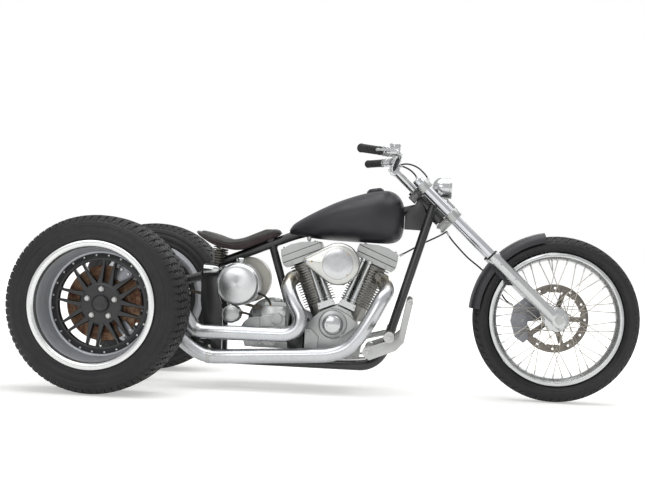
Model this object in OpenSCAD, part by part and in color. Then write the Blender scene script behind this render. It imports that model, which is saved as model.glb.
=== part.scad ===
// Three-wheeled custom motorcycle: raked spoked front wheel, V-twin engine,
// solid rear axle on two deep-dished wide wheels.
// Lengths in millimetres. X runs forward, Y to the rider's left, Z up from the floor.
// Modules are drawn with the rear axle at X = 0 and are moved to the middle by placed().

/* [Wheels] */
// Distance between the rear axle and the front axle
wheelbase = 1825; // [1750:5:1900]
// Distance between the middles of the two rear tyres
rear_track = 998; // [980:2:1060]
// Outer diameter of a rear tyre
rear_tyre_d = 692; // [680:2:700]
// Width of a rear tyre at its widest
rear_tyre_w = 258; // [250:2:262]
// Diameter of the rear rim at its lips
rear_lip_d = 494; // [490:1:498]
// Width of the rear rim over its lips
rear_rim_w = 264; // [262:1:268]
// Distance from the outer lip in to the wheel's face
face_depth = 146; // [140:1:150]
// Diameter of the rear wheel's bolt circle
lug_circle_d = 114.3; // [112:0.1:120]
// Outer diameter of the front tyre
front_tyre_d = 700; // [690:2:710]
// Width of the front tyre
front_tyre_w = 104; // [96:1:108]
// Diameter of the front rim at its flanges
front_rim_d = 560; // [558:1:562]

/* [Front end] */
// Angle of the steering axis from upright
rake = 47; // [44:0.5:48]
// Distance from the steering axis forward to the fork legs
fork_offset = 45; // [42:1:50]
// Distance of the front axle ahead of the fork legs
axle_lead = 6; // [2:1:10]
// Half the distance between the fork legs
fork_half = 105; // [104:1:108]
// Diameter of the sliding fork tubes
fork_tube_d = 41; // [39:1:43]
// Diameter of the fork's lower legs
fork_leg_d = 50; // [48:1:52]
// Height of the lower clamp along the fork, from the axle
low_clamp_s = 592; // [588:1:594]
// Height of the upper clamp along the fork, from the axle
top_clamp_s = 766; // [765:1:770]
// Diameter of the front brake disc
front_disc_d = 292; // [280:2:294]
// Diameter of the handlebar tube
bar_d = 25.4; // [25:0.2:26]

/* [Frame] */
// Diameter of the main frame tubes
frame_d = 38; // [34:1:40]
// Height of the lower rails above the floor
rail_z = 119; // [116:1:122]
// Half the distance between the lower rails
rail_y = 105; // [104:1:110]
// Distance of the two upright legs from the middle
leg_y = 72; // [70:1:76]
// Diameter of the rear axle housing
axle_d = 76; // [70:1:80]
// Diameter of the wheel shafts in the axle housing
shaft_d = 44; // [40:1:46]

/* [Engine] */
// Distance from the rear axle forward to the crankshaft
crank_x = 903; // [898:1:908]
// Height of the crankshaft above the floor
crank_z = 190; // [186:1:194]
// Half the angle between the two cylinders
bank_angle = 22.5; // [22:0.5:23]
// Diameter of the cylinders over their fins
fin_d = 142; // [138:1:146]
// Number of cooling fins on each cylinder
fin_count = 17; // [12:1:20]
// Outer diameter of the exhaust pipes
pipe_d = 61; // [57:1:62]
// Sideways distance from the middle to the exhaust pipes
pipe_y = 192; // [190:1:198]

/* [Hidden] */
$fn = 64;
rear_r = rear_tyre_d / 2;
front_r = front_tyre_d / 2;
shift_x = -(wheelbase + front_r - rear_r) / 2;
stem_x = -axle_lead - fork_offset;
stem_d = 30;
running_gap = 0.05;
lap = 0.01;
bead_lip_r = rear_lip_d / 2;
face_v = rear_rim_w / 2 - face_depth;
face_t = 30;
face_r = 198;
hub_v = face_v - face_t;
wheel_y = rear_track / 2;
housing_end = wheel_y + hub_v - 36;
crankcase_w = 170;
ring_n = 32;

// ---------------------------------------------------------------- helpers

function unit(v) = v / norm(v);
function last(v) = v[len(v) - 1];
function sgn_pow(v, p) = sign(v) * pow(abs(v), p);

// Point on the curve that passes through b and c, at t from 0 to 1 between them
function between(a, b, c, d, t) =
    0.5 * (2 * b + (c - a) * t + (2 * a - 5 * b + 4 * c - d) * t * t
           + (3 * b - a - 3 * c + d) * t * t * t);

// A smooth path through the points p, with a number of steps between each two
function smooth(p, steps) = [
    for (i = [0:len(p) - 2])
        for (j = [0:steps - 1])
            between(p[max(i - 1, 0)], p[i], p[i + 1], p[min(i + 2, len(p) - 1)], j / steps),
    last(p)
];

// Ring of a swept tube at point i of the path
function tube_ring(path, i, d, n, ref) =
    let(t = unit(path[min(i + 1, len(path) - 1)] - path[max(i - 1, 0)]),
        s = unit(cross(t, ref)),
        u = cross(t, s))
    [for (k = [0:n - 1]) path[i] + d / 2 * (cos(360 * k / n) * s + sin(360 * k / n) * u)];

// Ring across the vehicle at x: half width, low and high edges, corner power
function body_ring(x, half_w, low, high, power) = [
    for (k = [0:ring_n - 1])
        let(a = 360 * k / ring_n)
        [x, half_w * sgn_pow(cos(a), 2 / power),
         (low + high) / 2 + (high - low) / 2 * sgn_pow(sin(a), 2 / power)]
];

// Closed skin through a row of rings that have the same number of points
module skin(rings) {
    n = len(rings[0]);
    m = len(rings);
    polyhedron(
        points = [for (r = rings) each r],
        faces = concat(
            [[for (k = [0:n - 1]) k]],
            [[for (k = [0:n - 1]) m * n - 1 - k]],
            [for (i = [0:m - 2]) for (k = [0:n - 1])
                [i * n + k, (i + 1) * n + k, i * n + (k + 1) % n]],
            [for (i = [0:m - 2]) for (k = [0:n - 1])
                [(i + 1) * n + k, (i + 1) * n + (k + 1) % n, i * n + (k + 1) % n]]),
        convexity = 6);
}

// Round tube along a path; ref is a direction that the path never follows
module swept(path, d, n, ref) {
    skin([for (i = [0:len(path) - 1]) tube_ring(path, i, d, n, ref)]);
}

// Straight round bar from a to b
module rod(a, b, d) {
    v = b - a;
    translate(a)
        rotate([0, acos(v.z / norm(v)), atan2(v.y, v.x)])
            cylinder(d = d, h = norm(v));
}

// Round bar across the vehicle at x, z from y0 to y1
module cross_bar(x, z, y0, y1, d) {
    translate([x, y1, z]) rotate([90, 0, 0]) cylinder(d = d, h = y1 - y0);
}

// Side outline (X, Z) made solid from y0 to y1
module side_plate(y0, y1) {
    translate([0, y1, 0]) rotate([90, 0, 0]) linear_extrude(y1 - y0) children();
}

// From the rear axle's frame to the vehicle's own origin
module placed() {
    translate([shift_x, 0, 0]) children();
}

// Fork frame: origin at the front axle, +Z up along the legs, +X square to them, forward
module on_fork() {
    placed() translate([wheelbase, 0, front_r]) rotate([0, -rake, 0]) children();
}

// Both sides, from what is drawn for the left
module both_sides() {
    children();
    mirror([0, 1, 0]) children();
}

// Wheel frame: origin at the wheel's middle, +Z outboard. side is 1 left, -1 right
module on_rear_wheel(side) {
    placed() translate([0, side * wheel_y, rear_r]) rotate([-side * 90, 0, 0]) children();
}

module on_front_wheel() {
    placed() translate([wheelbase, 0, front_r]) rotate([-90, 0, 0]) children();
}

// Cylinder frame: origin at the crankshaft, +Z up the cylinder; the rear one is mirrored
module on_banks() {
    for (m = [0, 1])
        placed() translate([crank_x, 0, crank_z]) mirror([m, 0, 0])
            rotate([0, bank_angle, 0]) children();
}

// ---------------------------------------------------------------- frame

head_d = 58;
neck_top_s = top_clamp_s - 3;
neck_low_s = low_clamp_s + 43;

module neck_solid() {
    on_fork() translate([stem_x, 0, neck_low_s])
        cylinder(d = head_d, h = neck_top_s - neck_low_s);
}

module head_tube() {
    color("#1c1b1d") on_fork() translate([stem_x, 0, neck_low_s]) difference() {
        cylinder(d = head_d, h = neck_top_s - neck_low_s);
        translate([0, 0, -1])
            cylinder(d = stem_d + 2 * running_gap, h = neck_top_s - neck_low_s + 2);
    }
}

// Two plates that tie the backbone to the head tube and the downtubes
gusset_y = 30;
gusset_t = 5;
gusset_outline = [[1171.5, 702], [1262, 700], [1278, 735], [1236, 832], [1200, 822], [1171.5, 811]];
turning_gap = 6;

module neck_gusset() {
    color("#1f1e20") difference() {
        placed() both_sides()
            side_plate(gusset_y, gusset_y + gusset_t) polygon(gusset_outline);
        neck_solid();
        cradle_both() down_run(frame_d);
        on_fork() translate([-200, -100, top_clamp_s - turning_gap])
            cube([400, 200, 100]);
    }
}

// The backbone rises from behind the legs' cross bar, then bends a little towards level
backbone_rear = [350, 0, 508.3];
backbone_rise = 22.6;
backbone_bend = 7.8;
backbone_bend_r = 600;
backbone_runs = [345, 537];

module backbone() {
    color("#1c1b1d") difference() {
        placed() translate(backbone_rear) rotate([0, -backbone_rise, 0]) {
            rotate([0, 90, 0]) cylinder(d = frame_d, h = backbone_runs[0]);
            translate([backbone_runs[0], 0, -backbone_bend_r]) {
                rotate([90, 0, 0]) rotate([0, 0, 90 - backbone_bend])
                    rotate_extrude(angle = backbone_bend) translate([backbone_bend_r, 0])
                        circle(d = frame_d);
                rotate([0, backbone_bend, 0]) translate([0, 0, backbone_bend_r])
                    rotate([0, 90, 0]) cylinder(d = frame_d, h = backbone_runs[1]);
            }
        }
        neck_solid();
        placed() cross_bar(leg_top_x, leg_top_z, -leg_y, leg_y, leg_bar_d);
    }
}

// The two cradle tubes: rail along the floor, a bend, then the leaning downtube
rail_x0 = 385;
rail_run = 623;
bend_r = 110;
bend_angle = 73.9;
cradle_lean = 7;
down_length = 640;

module cradle_plane(side) {
    placed() translate([rail_x0, side * rail_y, rail_z])
        rotate([side * cradle_lean, 0, 0]) children();
}

module cradle_both() {
    for (side = [-1, 1]) cradle_plane(side) children();
}

module down_run(d) {
    translate([rail_run + bend_r * sin(bend_angle), 0, bend_r * (1 - cos(bend_angle))])
        rotate([0, 90 - bend_angle, 0]) cylinder(d = d, h = down_length);
}

// The downtubes stop at the head tube and at a thin slot between them
slot_w = 2;
slot_corner = [1100, 500];
slot_size = [300, 500];
beyond_head = 150;

module downtubes() {
    color("#1c1b1d") difference() {
        cradle_both() down_run(frame_d);
        neck_solid();
        on_fork() translate([stem_x, 0, neck_low_s - beyond_head])
            cylinder(d = head_d - 1, h = neck_top_s - neck_low_s + 2 * beyond_head);
        placed() translate([slot_corner.x, -slot_w / 2, slot_corner.y])
            cube([slot_size.x, slot_w, slot_size.y]);
    }
}

module lower_rails() {
    color("#1c1b1d") cradle_both() {
        rotate([0, 90, 0]) cylinder(d = frame_d, h = rail_run);
        translate([rail_run, 0, bend_r]) rotate([90, 0, 0]) rotate([0, 0, -90])
            rotate_extrude(angle = bend_angle) translate([bend_r, 0]) circle(d = frame_d);
    }
}

// The seat tube is a little thinner and ends on the backbone's middle line
seat_tube_top = [607, 0, 614];
seat_tube_low = [720, 0, 262];
seat_tube_d = frame_d - 4;

module seat_tube() {
    color("#1c1b1d") difference() {
        placed() rod(seat_tube_top, seat_tube_low, seat_tube_d);
        backbone();
        placed() mount_block();
    }
}

// Block between engine and gearbox, and the tubes that tie the rails together
block_x = [705, 765];
block_z = [104, 258];
block_half = 82;
tie_xs = [450, 985];
tie_d = 30;

module mount_block() {
    translate([block_x[0], -block_half, block_z[0]])
        cube([block_x[1] - block_x[0], 2 * block_half, block_z[1] - block_z[0]]);
}

module cross_members() {
    color("#1c1b1d") difference() {
        placed() union() {
            mount_block();
            for (x = [(block_x[0] + block_x[1]) / 2, tie_xs[0], tie_xs[1]])
                cross_bar(x, rail_z, -rail_y, rail_y, tie_d);
        }
        cradle_both() rotate([0, 90, 0]) cylinder(d = frame_d, h = rail_run);
    }
}

// Two broad boxed legs that carry the rear axle's arms and the seat springs
leg_t = 26;
leg_top_x = 372;
leg_top_z = 500;
leg_bar_d = 30;
leg_outline = [[320, 512], [390, 518], [392, 400], [416, 335], [420, 138], [418, 100],
               [345, 100], [338, 255], [322, 360]];

module frame_legs() {
    color("#201f21") placed() difference() {
        union() {
            both_sides() side_plate(leg_y - leg_t / 2, leg_y + leg_t / 2) polygon(leg_outline);
            cross_bar(leg_top_x, leg_top_z, -leg_y, leg_y, leg_bar_d);
        }
        both_sides() translate([rail_x0 - 1, rail_y, rail_z])
            rotate([0, 90, 0]) cylinder(d = frame_d, h = rail_run);
    }
}

upper_arm = [[338, 470], [0, 372]];
lower_arm = [[352, 165], [0, 322]];
arm_d = 34;

module axle_arms() {
    color("#1c1b1d") placed() difference() {
        both_sides() for (arm = [upper_arm, lower_arm])
            rod([arm[0].x, leg_y, arm[0].y], [arm[1].x, leg_y, arm[1].y], arm_d);
        cross_bar(0, rear_r, -housing_end, housing_end, axle_d);
        both_sides() side_plate(leg_y - leg_t, leg_y + leg_t) polygon(leg_outline);
        translate([-axle_d, -2 * leg_y, 0]) cube([axle_d, 4 * leg_y, 2 * rear_r]);
    }
}

case_d = 184;
case_half = 48;
end_flange = [axle_d + 26, 14];
shaft_socket = 70;

module axle_housing() {
    color("#222123") placed() difference() {
        union() {
            cross_bar(0, rear_r, -housing_end, housing_end, axle_d);
            cross_bar(0, rear_r, -case_half, case_half, case_d);
            both_sides() cross_bar(0, rear_r, housing_end - end_flange[1], housing_end,
                                   end_flange[0]);
        }
        both_sides() cross_bar(0, rear_r, housing_end - shaft_socket, housing_end + 1,
                               shaft_d + 2 * running_gap);
    }
}

// Chain and its two sprockets, on the left between gearbox and primary case
chain_y = 105;
chain_t = 12;
chain_h = 13;
axle_sprocket_r = 92;
gear_x = 602;
gear_z = 275;
gear_sprocket_r = 46;

// Outline around two circles of different size, grown by g; the straight edges sit
// a hair inside the circles so that they cross them cleanly
edge_inset = 0.05;

module belt_outline(a, ra, b, rb, g) {
    v = b - a;
    open = acos((ra - rb) / norm(v));
    translate(a) rotate(atan2(v.y, v.x)) {
        circle(r = ra + g);
        translate([norm(v), 0]) circle(r = rb + g);
        polygon([
            for (m = [1, -1])
                for (e = m > 0 ? [[0, ra], [norm(v), rb]] : [[norm(v), rb], [0, ra]])
                    [e[0], 0] + (e[1] + g - edge_inset) * [cos(open), m * sin(open)]
        ]);
    }
}

module chain_outline(g) {
    belt_outline([0, rear_r], axle_sprocket_r, [gear_x, gear_z], gear_sprocket_r, g);
}

tooth_reach = 2;
sprocket_boss = [120, 16];
gear_shaft_d = 50;

module final_drive() {
    color("#77736b") placed() difference() {
        union() {
            side_plate(chain_y - chain_t / 2, chain_y + chain_t / 2) difference() {
                chain_outline(chain_h / 2);
                difference() {
                    chain_outline(-chain_h / 2);
                    translate([0, rear_r]) circle(r = axle_sprocket_r - tooth_reach);
                    translate([gear_x, gear_z]) circle(r = gear_sprocket_r - tooth_reach);
                }
            }
            cross_bar(0, rear_r, chain_y - sprocket_boss[1], chain_y, sprocket_boss[0]);
            cross_bar(gear_x, gear_z, crankcase_w / 2, chain_y, gear_shaft_d);
        }
        cross_bar(0, rear_r, 0, 2 * chain_y, axle_d);
    }
}

// Brake calipers on both rear wheels: columns are angle and size of the block
caliper_table = [[57, 62], [-47, 50]];
rotor_r = 150;
rotor_v = [hub_v - 30, hub_v - 20];
caliper_gap = 6;
block_in = 106;
block_h = 64;
block_behind = 22;
block_w = 46;
lug_size = [80, 28, 12];

module rear_calipers() {
    color("#a9aaab") for (side = [-1, 1]) on_rear_wheel(side) {
        for (c = caliper_table) rotate([0, 0, -side * c[0]]) difference() {
            union() {
                translate([block_in, -c[1] / 2, rotor_v[0] - block_behind])
                    cube([block_h, c[1], block_w]);
                translate([end_flange[0] / 2 - 5, -lug_size.y / 2, rotor_v[0] - block_behind])
                    cube(lug_size);
            }
            translate([0, 0, rotor_v[0] - block_behind - 1])
                cylinder(r = end_flange[0] / 2, h = lug_size.z + 2);
            translate([0, 0, rotor_v[0] - caliper_gap])
                cylinder(r = rotor_r + caliper_gap, h = rotor_v[1] - rotor_v[0] + 2 * caliper_gap);
        }
    }
}

// ---------------------------------------------------------------- tank and seat

// Columns: x, half width, low edge, high edge, corner power
tank_table = [
    [682, 14, 664, 680, 2.0],
    [700, 44, 658, 704, 2.1],
    [740, 78, 651, 731, 2.2],
    [800, 108, 644, 765, 2.3],
    [870, 130, 640, 800, 2.4],
    [940, 144, 638, 828, 2.4],
    [1010, 150, 637, 850, 2.4],
    [1065, 148, 636, 861, 2.4],
    [1110, 136, 637, 860, 2.3],
    [1142, 114, 646, 842, 2.2],
    [1162, 78, 668, 812, 2.1],
    [1170, 34, 706, 770, 2.0]
];

// Tunnel under the tank that the backbone passes through
tunnel_half = 24;
tunnel_outline = [[640, 600], [1260, 600], [1260, 866], [1236, 856], [690, 676], [640, 655]];

module fuel_tank() {
    color("#2c2c30") placed() difference() {
        skin([for (t = tank_table) body_ring(t[0], t[1], t[2], t[3], t[4])]);
        side_plate(-tunnel_half, tunnel_half) polygon(tunnel_outline);
    }
}

cap_seat = [1042, 0, 857.5];
cap_tilt = 10;
cap_steps = [[74, 13], [58, 17]];

module fuel_cap() {
    color("#3a3a3e") placed() translate(cap_seat) rotate([0, -cap_tilt, 0])
        for (c = cap_steps) cylinder(d = c[0], h = c[1]);
}

// Columns: x, half width, low edge, high edge, corner power
seat_table = [
    [282, 62, 648, 659, 2.0],
    [300, 100, 637, 656, 2.2],
    [330, 128, 619, 651, 2.4],
    [370, 138, 599, 641, 2.6],
    [410, 134, 589, 628, 2.6],
    [450, 118, 584, 622, 2.5],
    [490, 92, 591, 630, 2.4],
    [530, 70, 607, 647, 2.3],
    [570, 56, 624, 665, 2.2],
    [605, 48, 639, 679, 2.1],
    [632, 36, 651, 679, 2.0],
    [645, 15, 659, 670, 2.0]
];

module seat() {
    color("#3b302c") placed()
        skin([for (s = seat_table) body_ring(s[0], s[1], s[2], s[3], s[4])]);
}

spring_x = 385;
spring_y = 64;
spring_d = 46;
spring_z = [519, 588];

module seat_springs() {
    color("#b9b9b4") placed() both_sides()
        translate([spring_x, spring_y, spring_z[0]])
            cylinder(d = spring_d, h = spring_z[1] - spring_z[0]);
}

// ---------------------------------------------------------------- tanks and drums

// Round drum across the vehicle with domed ends: middle, ends, radius, dome depth
module drum(x, z, y0, y1, r, dome) {
    dome_r = (r * r + dome * dome) / (2 * dome);
    cross_bar(x, z, y0, y1, 2 * r);
    intersection() {
        translate([x, y0 - dome + dome_r, z]) sphere(r = dome_r, $fn = 96);
        cross_bar(x, z, y0 - dome - 1, y0, 2 * r);
    }
}

oil_x = 484;
oil_z = 437;
oil_r = 89;
oil_y = [-132, 12];
oil_dome = 20;
neck_at = [3, -92];
neck_sizes = [30, 18];
lid_sizes = [40, 18];

module oil_tank() {
    color("#c9cac9") placed() {
        drum(oil_x, oil_z, oil_y[0], oil_y[1], oil_r, oil_dome);
        difference() {
            translate([oil_x + neck_at.x, neck_at.y, oil_z + oil_r - 8]) {
                cylinder(d = neck_sizes[0], h = neck_sizes[1]);
                translate([0, 0, neck_sizes[1] - 4]) cylinder(d = lid_sizes[0], h = lid_sizes[1]);
            }
            cross_bar(oil_x, oil_z, oil_y[0], oil_y[1], 2 * oil_r - lap);
        }
    }
}

filter_at = [463, 311];
filter_r = 37.5;
filter_y = [-150, -70];
filter_dome = 6;
filter_base = [50, -40];

module oil_filter() {
    color("#b5b6b5") placed() {
        drum(filter_at.x, filter_at.y, filter_y[0], filter_y[1], filter_r, filter_dome);
        cross_bar(filter_at.x, filter_at.y, filter_y[1], filter_base[1], filter_base[0]);
    }
}

electrics_at = [505, 455];
electrics_y = [18, 92];
electrics_d = 198;

module electrics_drum() {
    color("#d8d6cc") placed()
        cross_bar(electrics_at.x, electrics_at.y, electrics_y[0], electrics_y[1], electrics_d);
}

// ---------------------------------------------------------------- engine

case_outline = [[770, 138], [1000, 138], [1012, 230], [965, 345], [903, 372], [842, 345],
                [790, 300], [770, 290]];

snout_d = 96;

module crankcase() {
    color("#bfc0be") placed() {
        side_plate(-crankcase_w / 2, crankcase_w / 2) polygon(case_outline);
        cross_bar(crank_x, crank_z, crankcase_w / 2, primary_y[0], snout_d);
    }
}

cam_x = 892;
cam_z = 288;
cam_d = 122;
cam_y = -112;
cam_outline = [[834, 262], [872, 230], [930, 236], [988, 280], [993, 297], [955, 330],
               [908, 353], [880, 354], [834, 316]];
cone_at = [891, 287];
cone_ds = [88, 76];
cone_h = 22;
button_d = 68;
button_h = 6;

module cam_cover() {
    color("#c8c9c7") placed() {
        cross_bar(cam_x, cam_z, cam_y, -crankcase_w / 2, cam_d);
        side_plate(cam_y + 4, -crankcase_w / 2) polygon(cam_outline);
        translate([cone_at.x, cam_y, cone_at.y]) rotate([90, 0, 0])
            cylinder(d1 = cone_ds[0], d2 = cone_ds[1], h = cone_h);
        cross_bar(cone_at.x, cone_at.y, cam_y - cone_h - button_h, cam_y - cone_h, button_d);
    }
}

fin_low = 196;
fin_high = 386;
barrel_d = 108;
fin_t = 4;
bank_gap = 2;
bank_slot_h = 500;
case_hollow = [[770, 100], [1040, 300]];

module cylinders() {
    pitch = (fin_high - fin_low) / fin_count;
    color("#c4c2bb") difference() {
        on_banks() {
            cylinder(d = barrel_d, h = fin_high);
            for (i = [0:fin_count - 1])
                translate([0, 0, fin_low + i * pitch]) cylinder(d = fin_d, h = fin_t);
        }
        placed() side_plate(-crankcase_w, crankcase_w) polygon(case_outline);
        placed() side_plate(-fin_d, fin_d) {
            translate([crank_x - bank_gap / 2, 0]) square([bank_gap, bank_slot_h]);
            translate(case_hollow[0]) square(case_hollow[1] - case_hollow[0]);
        }
    }
}

// Side outline in the cylinder's own frame: inner side low, outer side high
rocker_outline = [[-92, 441], [-18, 467], [28, 473], [76, 466], [90, 402], [80, fin_high],
                  [-72, fin_high], [-88, 400]];
rocker_half = 76;

module rocker_boxes() {
    color("#cdcecb") on_banks() {
        side_plate(-rocker_half, rocker_half) polygon(rocker_outline);
    }
}

// Pushrod tubes: columns are foot and head distance ahead of the cylinder's middle
pushrod_table = [[-14, -20], [-46, -48]];
pushrod_y = 90;
pushrod_d = 20;

pushrod_low = 192;

module pushrod_tubes() {
    color("#d3d4d2") on_banks() for (p = pushrod_table)
        rod([p[0], -pushrod_y, pushrod_low], [p[1], -pushrod_y, fin_high - 2], pushrod_d);
}

cleaner_x = 907;
cleaner_z = 541;
cleaner_r = 88;
cleaner_tip = [782, 549];
cleaner_tip_r = 21;

// Pear-shaped cover: columns are outer and inner distance from the middle, and growth
cleaner_steps = [[-118, -112, -6], [-176, -118, 0], [-184, -176, -8]];
cleaner_disc = [[-189, -184], 128];
carburettor_z = 512;
throat = [[-112, -20], 46];
throat_ring = [[-86, -52], 62];

module cleaner_outline(g) {
    belt_outline([cleaner_x, cleaner_z], cleaner_r, cleaner_tip, cleaner_tip_r, g);
}

module air_cleaner() {
    color("#cfd0cd") placed() {
        for (c = cleaner_steps) side_plate(c[0], c[1]) cleaner_outline(c[2]);
        cross_bar(cleaner_x - 2, cleaner_z, cleaner_disc[0][0], cleaner_disc[0][1],
                  cleaner_disc[1]);
        for (t = [throat, throat_ring])
            cross_bar(cleaner_x - 2, carburettor_z, t[0][0], t[0][1], t[1]);
    }
}

gear_outline = [[562, 174], [700, 174], [700, 350], [588, 350], [584, 303], [562, 303]];

gear_round = [[562, 238], 128];
knob = [[652, 297], 48, 22];

module gearbox() {
    color("#c0c1be") placed() {
        difference() {
            side_plate(-crankcase_w / 2, crankcase_w / 2) {
                polygon(gear_outline);
                translate(gear_round[0]) circle(d = gear_round[1]);
            }
            rod(seat_tube_top, seat_tube_low, seat_tube_d + 1);
        }
        cross_bar(knob[0].x, knob[0].y, -crankcase_w / 2 - knob[2], -crankcase_w / 2, knob[1]);
    }
}

primary_y = [128, 176];
primary_front_r = 84;
primary_rear_r = 104;

clutch_steps = [[168, 18], [140, 24]];
engine_step = [112, 12];

module primary_case() {
    color("#cfd0cd") placed() {
        side_plate(primary_y[0], primary_y[1])
            belt_outline([gear_x, gear_z], primary_rear_r, [crank_x, crank_z], primary_front_r, 0);
        for (c = clutch_steps)
            cross_bar(gear_x, gear_z, primary_y[1], primary_y[1] + c[1], c[0]);
        cross_bar(crank_x, crank_z, primary_y[1], primary_y[1] + engine_step[1], engine_step[0]);
        cross_bar(gear_x, gear_z, chain_y + chain_t / 2, primary_y[0], gear_shaft_d - 6);
    }
}

// Pipe routes from the cylinder heads back to the open tips between the wheels
rear_pipe = [[722, -64, 480], [704, -96, 462], [702, -140, 430], [726, -170, 374],
             [757, -pipe_y + 6, 318], [750, -pipe_y, 268], [710, -pipe_y, 242],
             [640, -pipe_y, 238], [500, -pipe_y, 237], [390, -pipe_y, 236],
             [345, -pipe_y, 238], [318, -pipe_y - 1, 252], [296, -pipe_y - 5, 282],
             [268, -pipe_y - 10, 322], [232, -pipe_y - 16, 372], [200, -pipe_y - 22, 418]];
front_pipe = [[1074, -64, 490], [1098, -96, 470], [1111, -140, 438], [1090, -172, 398],
              [1054, -pipe_y + 6, 326], [1008, -pipe_y, 248], [960, -pipe_y, 196],
              [890, -pipe_y, 168], [800, -pipe_y, 159], [634, -pipe_y, 149],
              [440, -pipe_y, 137], [392, -pipe_y, 137], [350, -pipe_y - 1, 148],
              [308, -pipe_y - 3, 172], [268, -pipe_y - 7, 206], [232, -pipe_y - 12, 250],
              [200, -pipe_y - 18, 296]];
pipe_bore_d = 54;
pipe_steps = 3;
pipe_sides = 24;
pipe_bore_depth = 90;

module exhaust(route) {
    path = smooth(route, pipe_steps);
    tip = last(path);
    back = unit(path[len(path) - 2] - tip);
    placed() difference() {
        swept(path, pipe_d, pipe_sides, [0, 1, 0.1]);
        rod(tip - 5 * back, tip + pipe_bore_depth * back, pipe_bore_d);
        translate([-shift_x, 0, 0]) on_banks() cylinder(d = fin_d + 1, h = 500);
    }
}

module exhaust_front() { color("#d6d4cc") exhaust(front_pipe); }
module exhaust_rear() { color("#d6d4cc") exhaust(rear_pipe); }

// ---------------------------------------------------------------- controls on the frame

pedal_outline = [[1026, 170], [1052, 152], [1160, 196], [1192, 232], [1222, 396], [1196, 400],
                 [1170, 262], [1150, 244], [1048, 206], [1028, 196]];
pedal_y = [172, 186];
peg_x = 1132;
peg_z = 260;
peg_d = 44;
peg_y = [90, 232, 336];
peg_shaft_d = 24;
pivot = [[1042, 184], 40];
pad = [[1209, 398], 26, 66];

module foot_controls() {
    color("#c3c4c2") difference() {
        placed() both_sides() {
            side_plate(pedal_y[0], pedal_y[1]) polygon(pedal_outline);
            cross_bar(pivot[0].x, pivot[0].y, pedal_y[0] - 60, pedal_y[1] + 6, pivot[1]);
            cross_bar(pad[0].x, pad[0].y, pedal_y[0], pedal_y[1] + pad[2], pad[1]);
            cross_bar(peg_x, peg_z, peg_y[0], peg_y[1], peg_shaft_d);
            cross_bar(peg_x, peg_z, peg_y[1], peg_y[2], peg_d);
        }
        cradle_both() {
            down_run(frame_d + 2 * lap);
            translate([rail_run, 0, bend_r]) rotate([90, 0, 0]) rotate([0, 0, -90])
                rotate_extrude(angle = bend_angle) translate([bend_r, 0]) circle(d = frame_d);
        }
    }
}

lamp_x = 338;
lamp_z = 496;
lamp_y = 122;
lamp_d = 40;
lamp_body = 36;
lamp_nose = [14, 32];
lamp_stalk_d = 12;

module tail_lamps() {
    color("#cfcfcb") placed() both_sides() {
        translate([lamp_x, lamp_y, lamp_z]) rotate([0, 90, 0]) {
            cylinder(d = lamp_d, h = lamp_body);
            translate([0, 0, lamp_body])
                cylinder(d1 = lamp_d, d2 = lamp_nose[0], h = lamp_nose[1]);
        }
        cross_bar(lamp_x + 20, lamp_z - 4, leg_y + leg_t / 2, lamp_y - 10, lamp_stalk_d);
    }
}

// Cable from the front head, between the downtubes, to the hollow steering stem
cable_route = [[1161, -40, 590], [1185, -34, 604], [1215, -18, 622], [1243, -8, 640],
               [1275, -6, 656], [1310, -4, 674], [1338, -2, 690], [1352, 0, 701]];

module control_cable() {
    color("#1a1a1a") placed() swept(smooth(cable_route, 3), 7, 8, [0, 1, 0]);
}

// ---------------------------------------------------------------- steered parts

clamp_h = 40;

// Clamp seen along the fork: stem eye, two leg eyes and the web between them
module clamp_outline() {
    translate([stem_x, 0]) circle(d = 62);
    for (s = [-1, 1]) translate([-axle_lead, s * fork_half]) circle(d = 64);
    polygon([[stem_x - 26, 18], [stem_x - 26, -18], [-34, -fork_half - 12], [4, -fork_half],
             [-8, 0], [4, fork_half], [-34, fork_half + 12]]);
}

module fork_bores(d) {
    for (s = [-1, 1]) translate([-axle_lead, s * fork_half, 0]) cylinder(d = d, h = 1000);
}

module lower_clamp() {
    color("#b7b8b6") on_fork() {
        difference() {
            translate([0, 0, low_clamp_s]) linear_extrude(clamp_h) clamp_outline();
            fork_bores(fork_tube_d);
        }
        translate([stem_x, 0, low_clamp_s + clamp_h - lap])
            cylinder(d = stem_d, h = top_clamp_s - low_clamp_s - clamp_h + lap);
    }
}

module upper_clamp() {
    color("#b7b8b6") on_fork() {
        difference() {
            translate([0, 0, top_clamp_s]) linear_extrude(clamp_h - 4) clamp_outline();
            fork_bores(fork_tube_d);
        }
        translate([stem_x, 0, top_clamp_s + clamp_h - 4]) cylinder(d = 34, h = 10);
    }
}

leg_top_s = 380;
leg_foot_s = -32;
tube_top_s = 830;

module fork_tubes() {
    color("#d9dadb") on_fork() both_sides()
        translate([-axle_lead, fork_half, leg_top_s])
            cylinder(d = fork_tube_d, h = tube_top_s - leg_top_s);
}

axle_rod_d = 20;
axle_boss = [82, 130];

module fork_lowers() {
    color("#c6c7c6") on_fork() both_sides() difference() {
        union() {
            translate([-axle_lead, fork_half, leg_foot_s])
                cylinder(d = fork_leg_d, h = leg_top_s - leg_foot_s);
            translate([-axle_lead, fork_half, leg_top_s - 24]) cylinder(d = fork_leg_d + 5, h = 24);
            translate([0, axle_boss[1], 0]) rotate([90, 0, 0])
                cylinder(d = 60, h = axle_boss[1] - axle_boss[0]);
        }
        translate([0, 200, 0]) rotate([90, 0, 0]) cylinder(d = axle_rod_d, h = 200);
    }
}

riser_x = -42;
riser_y = 45;
bar_s = 926;

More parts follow.
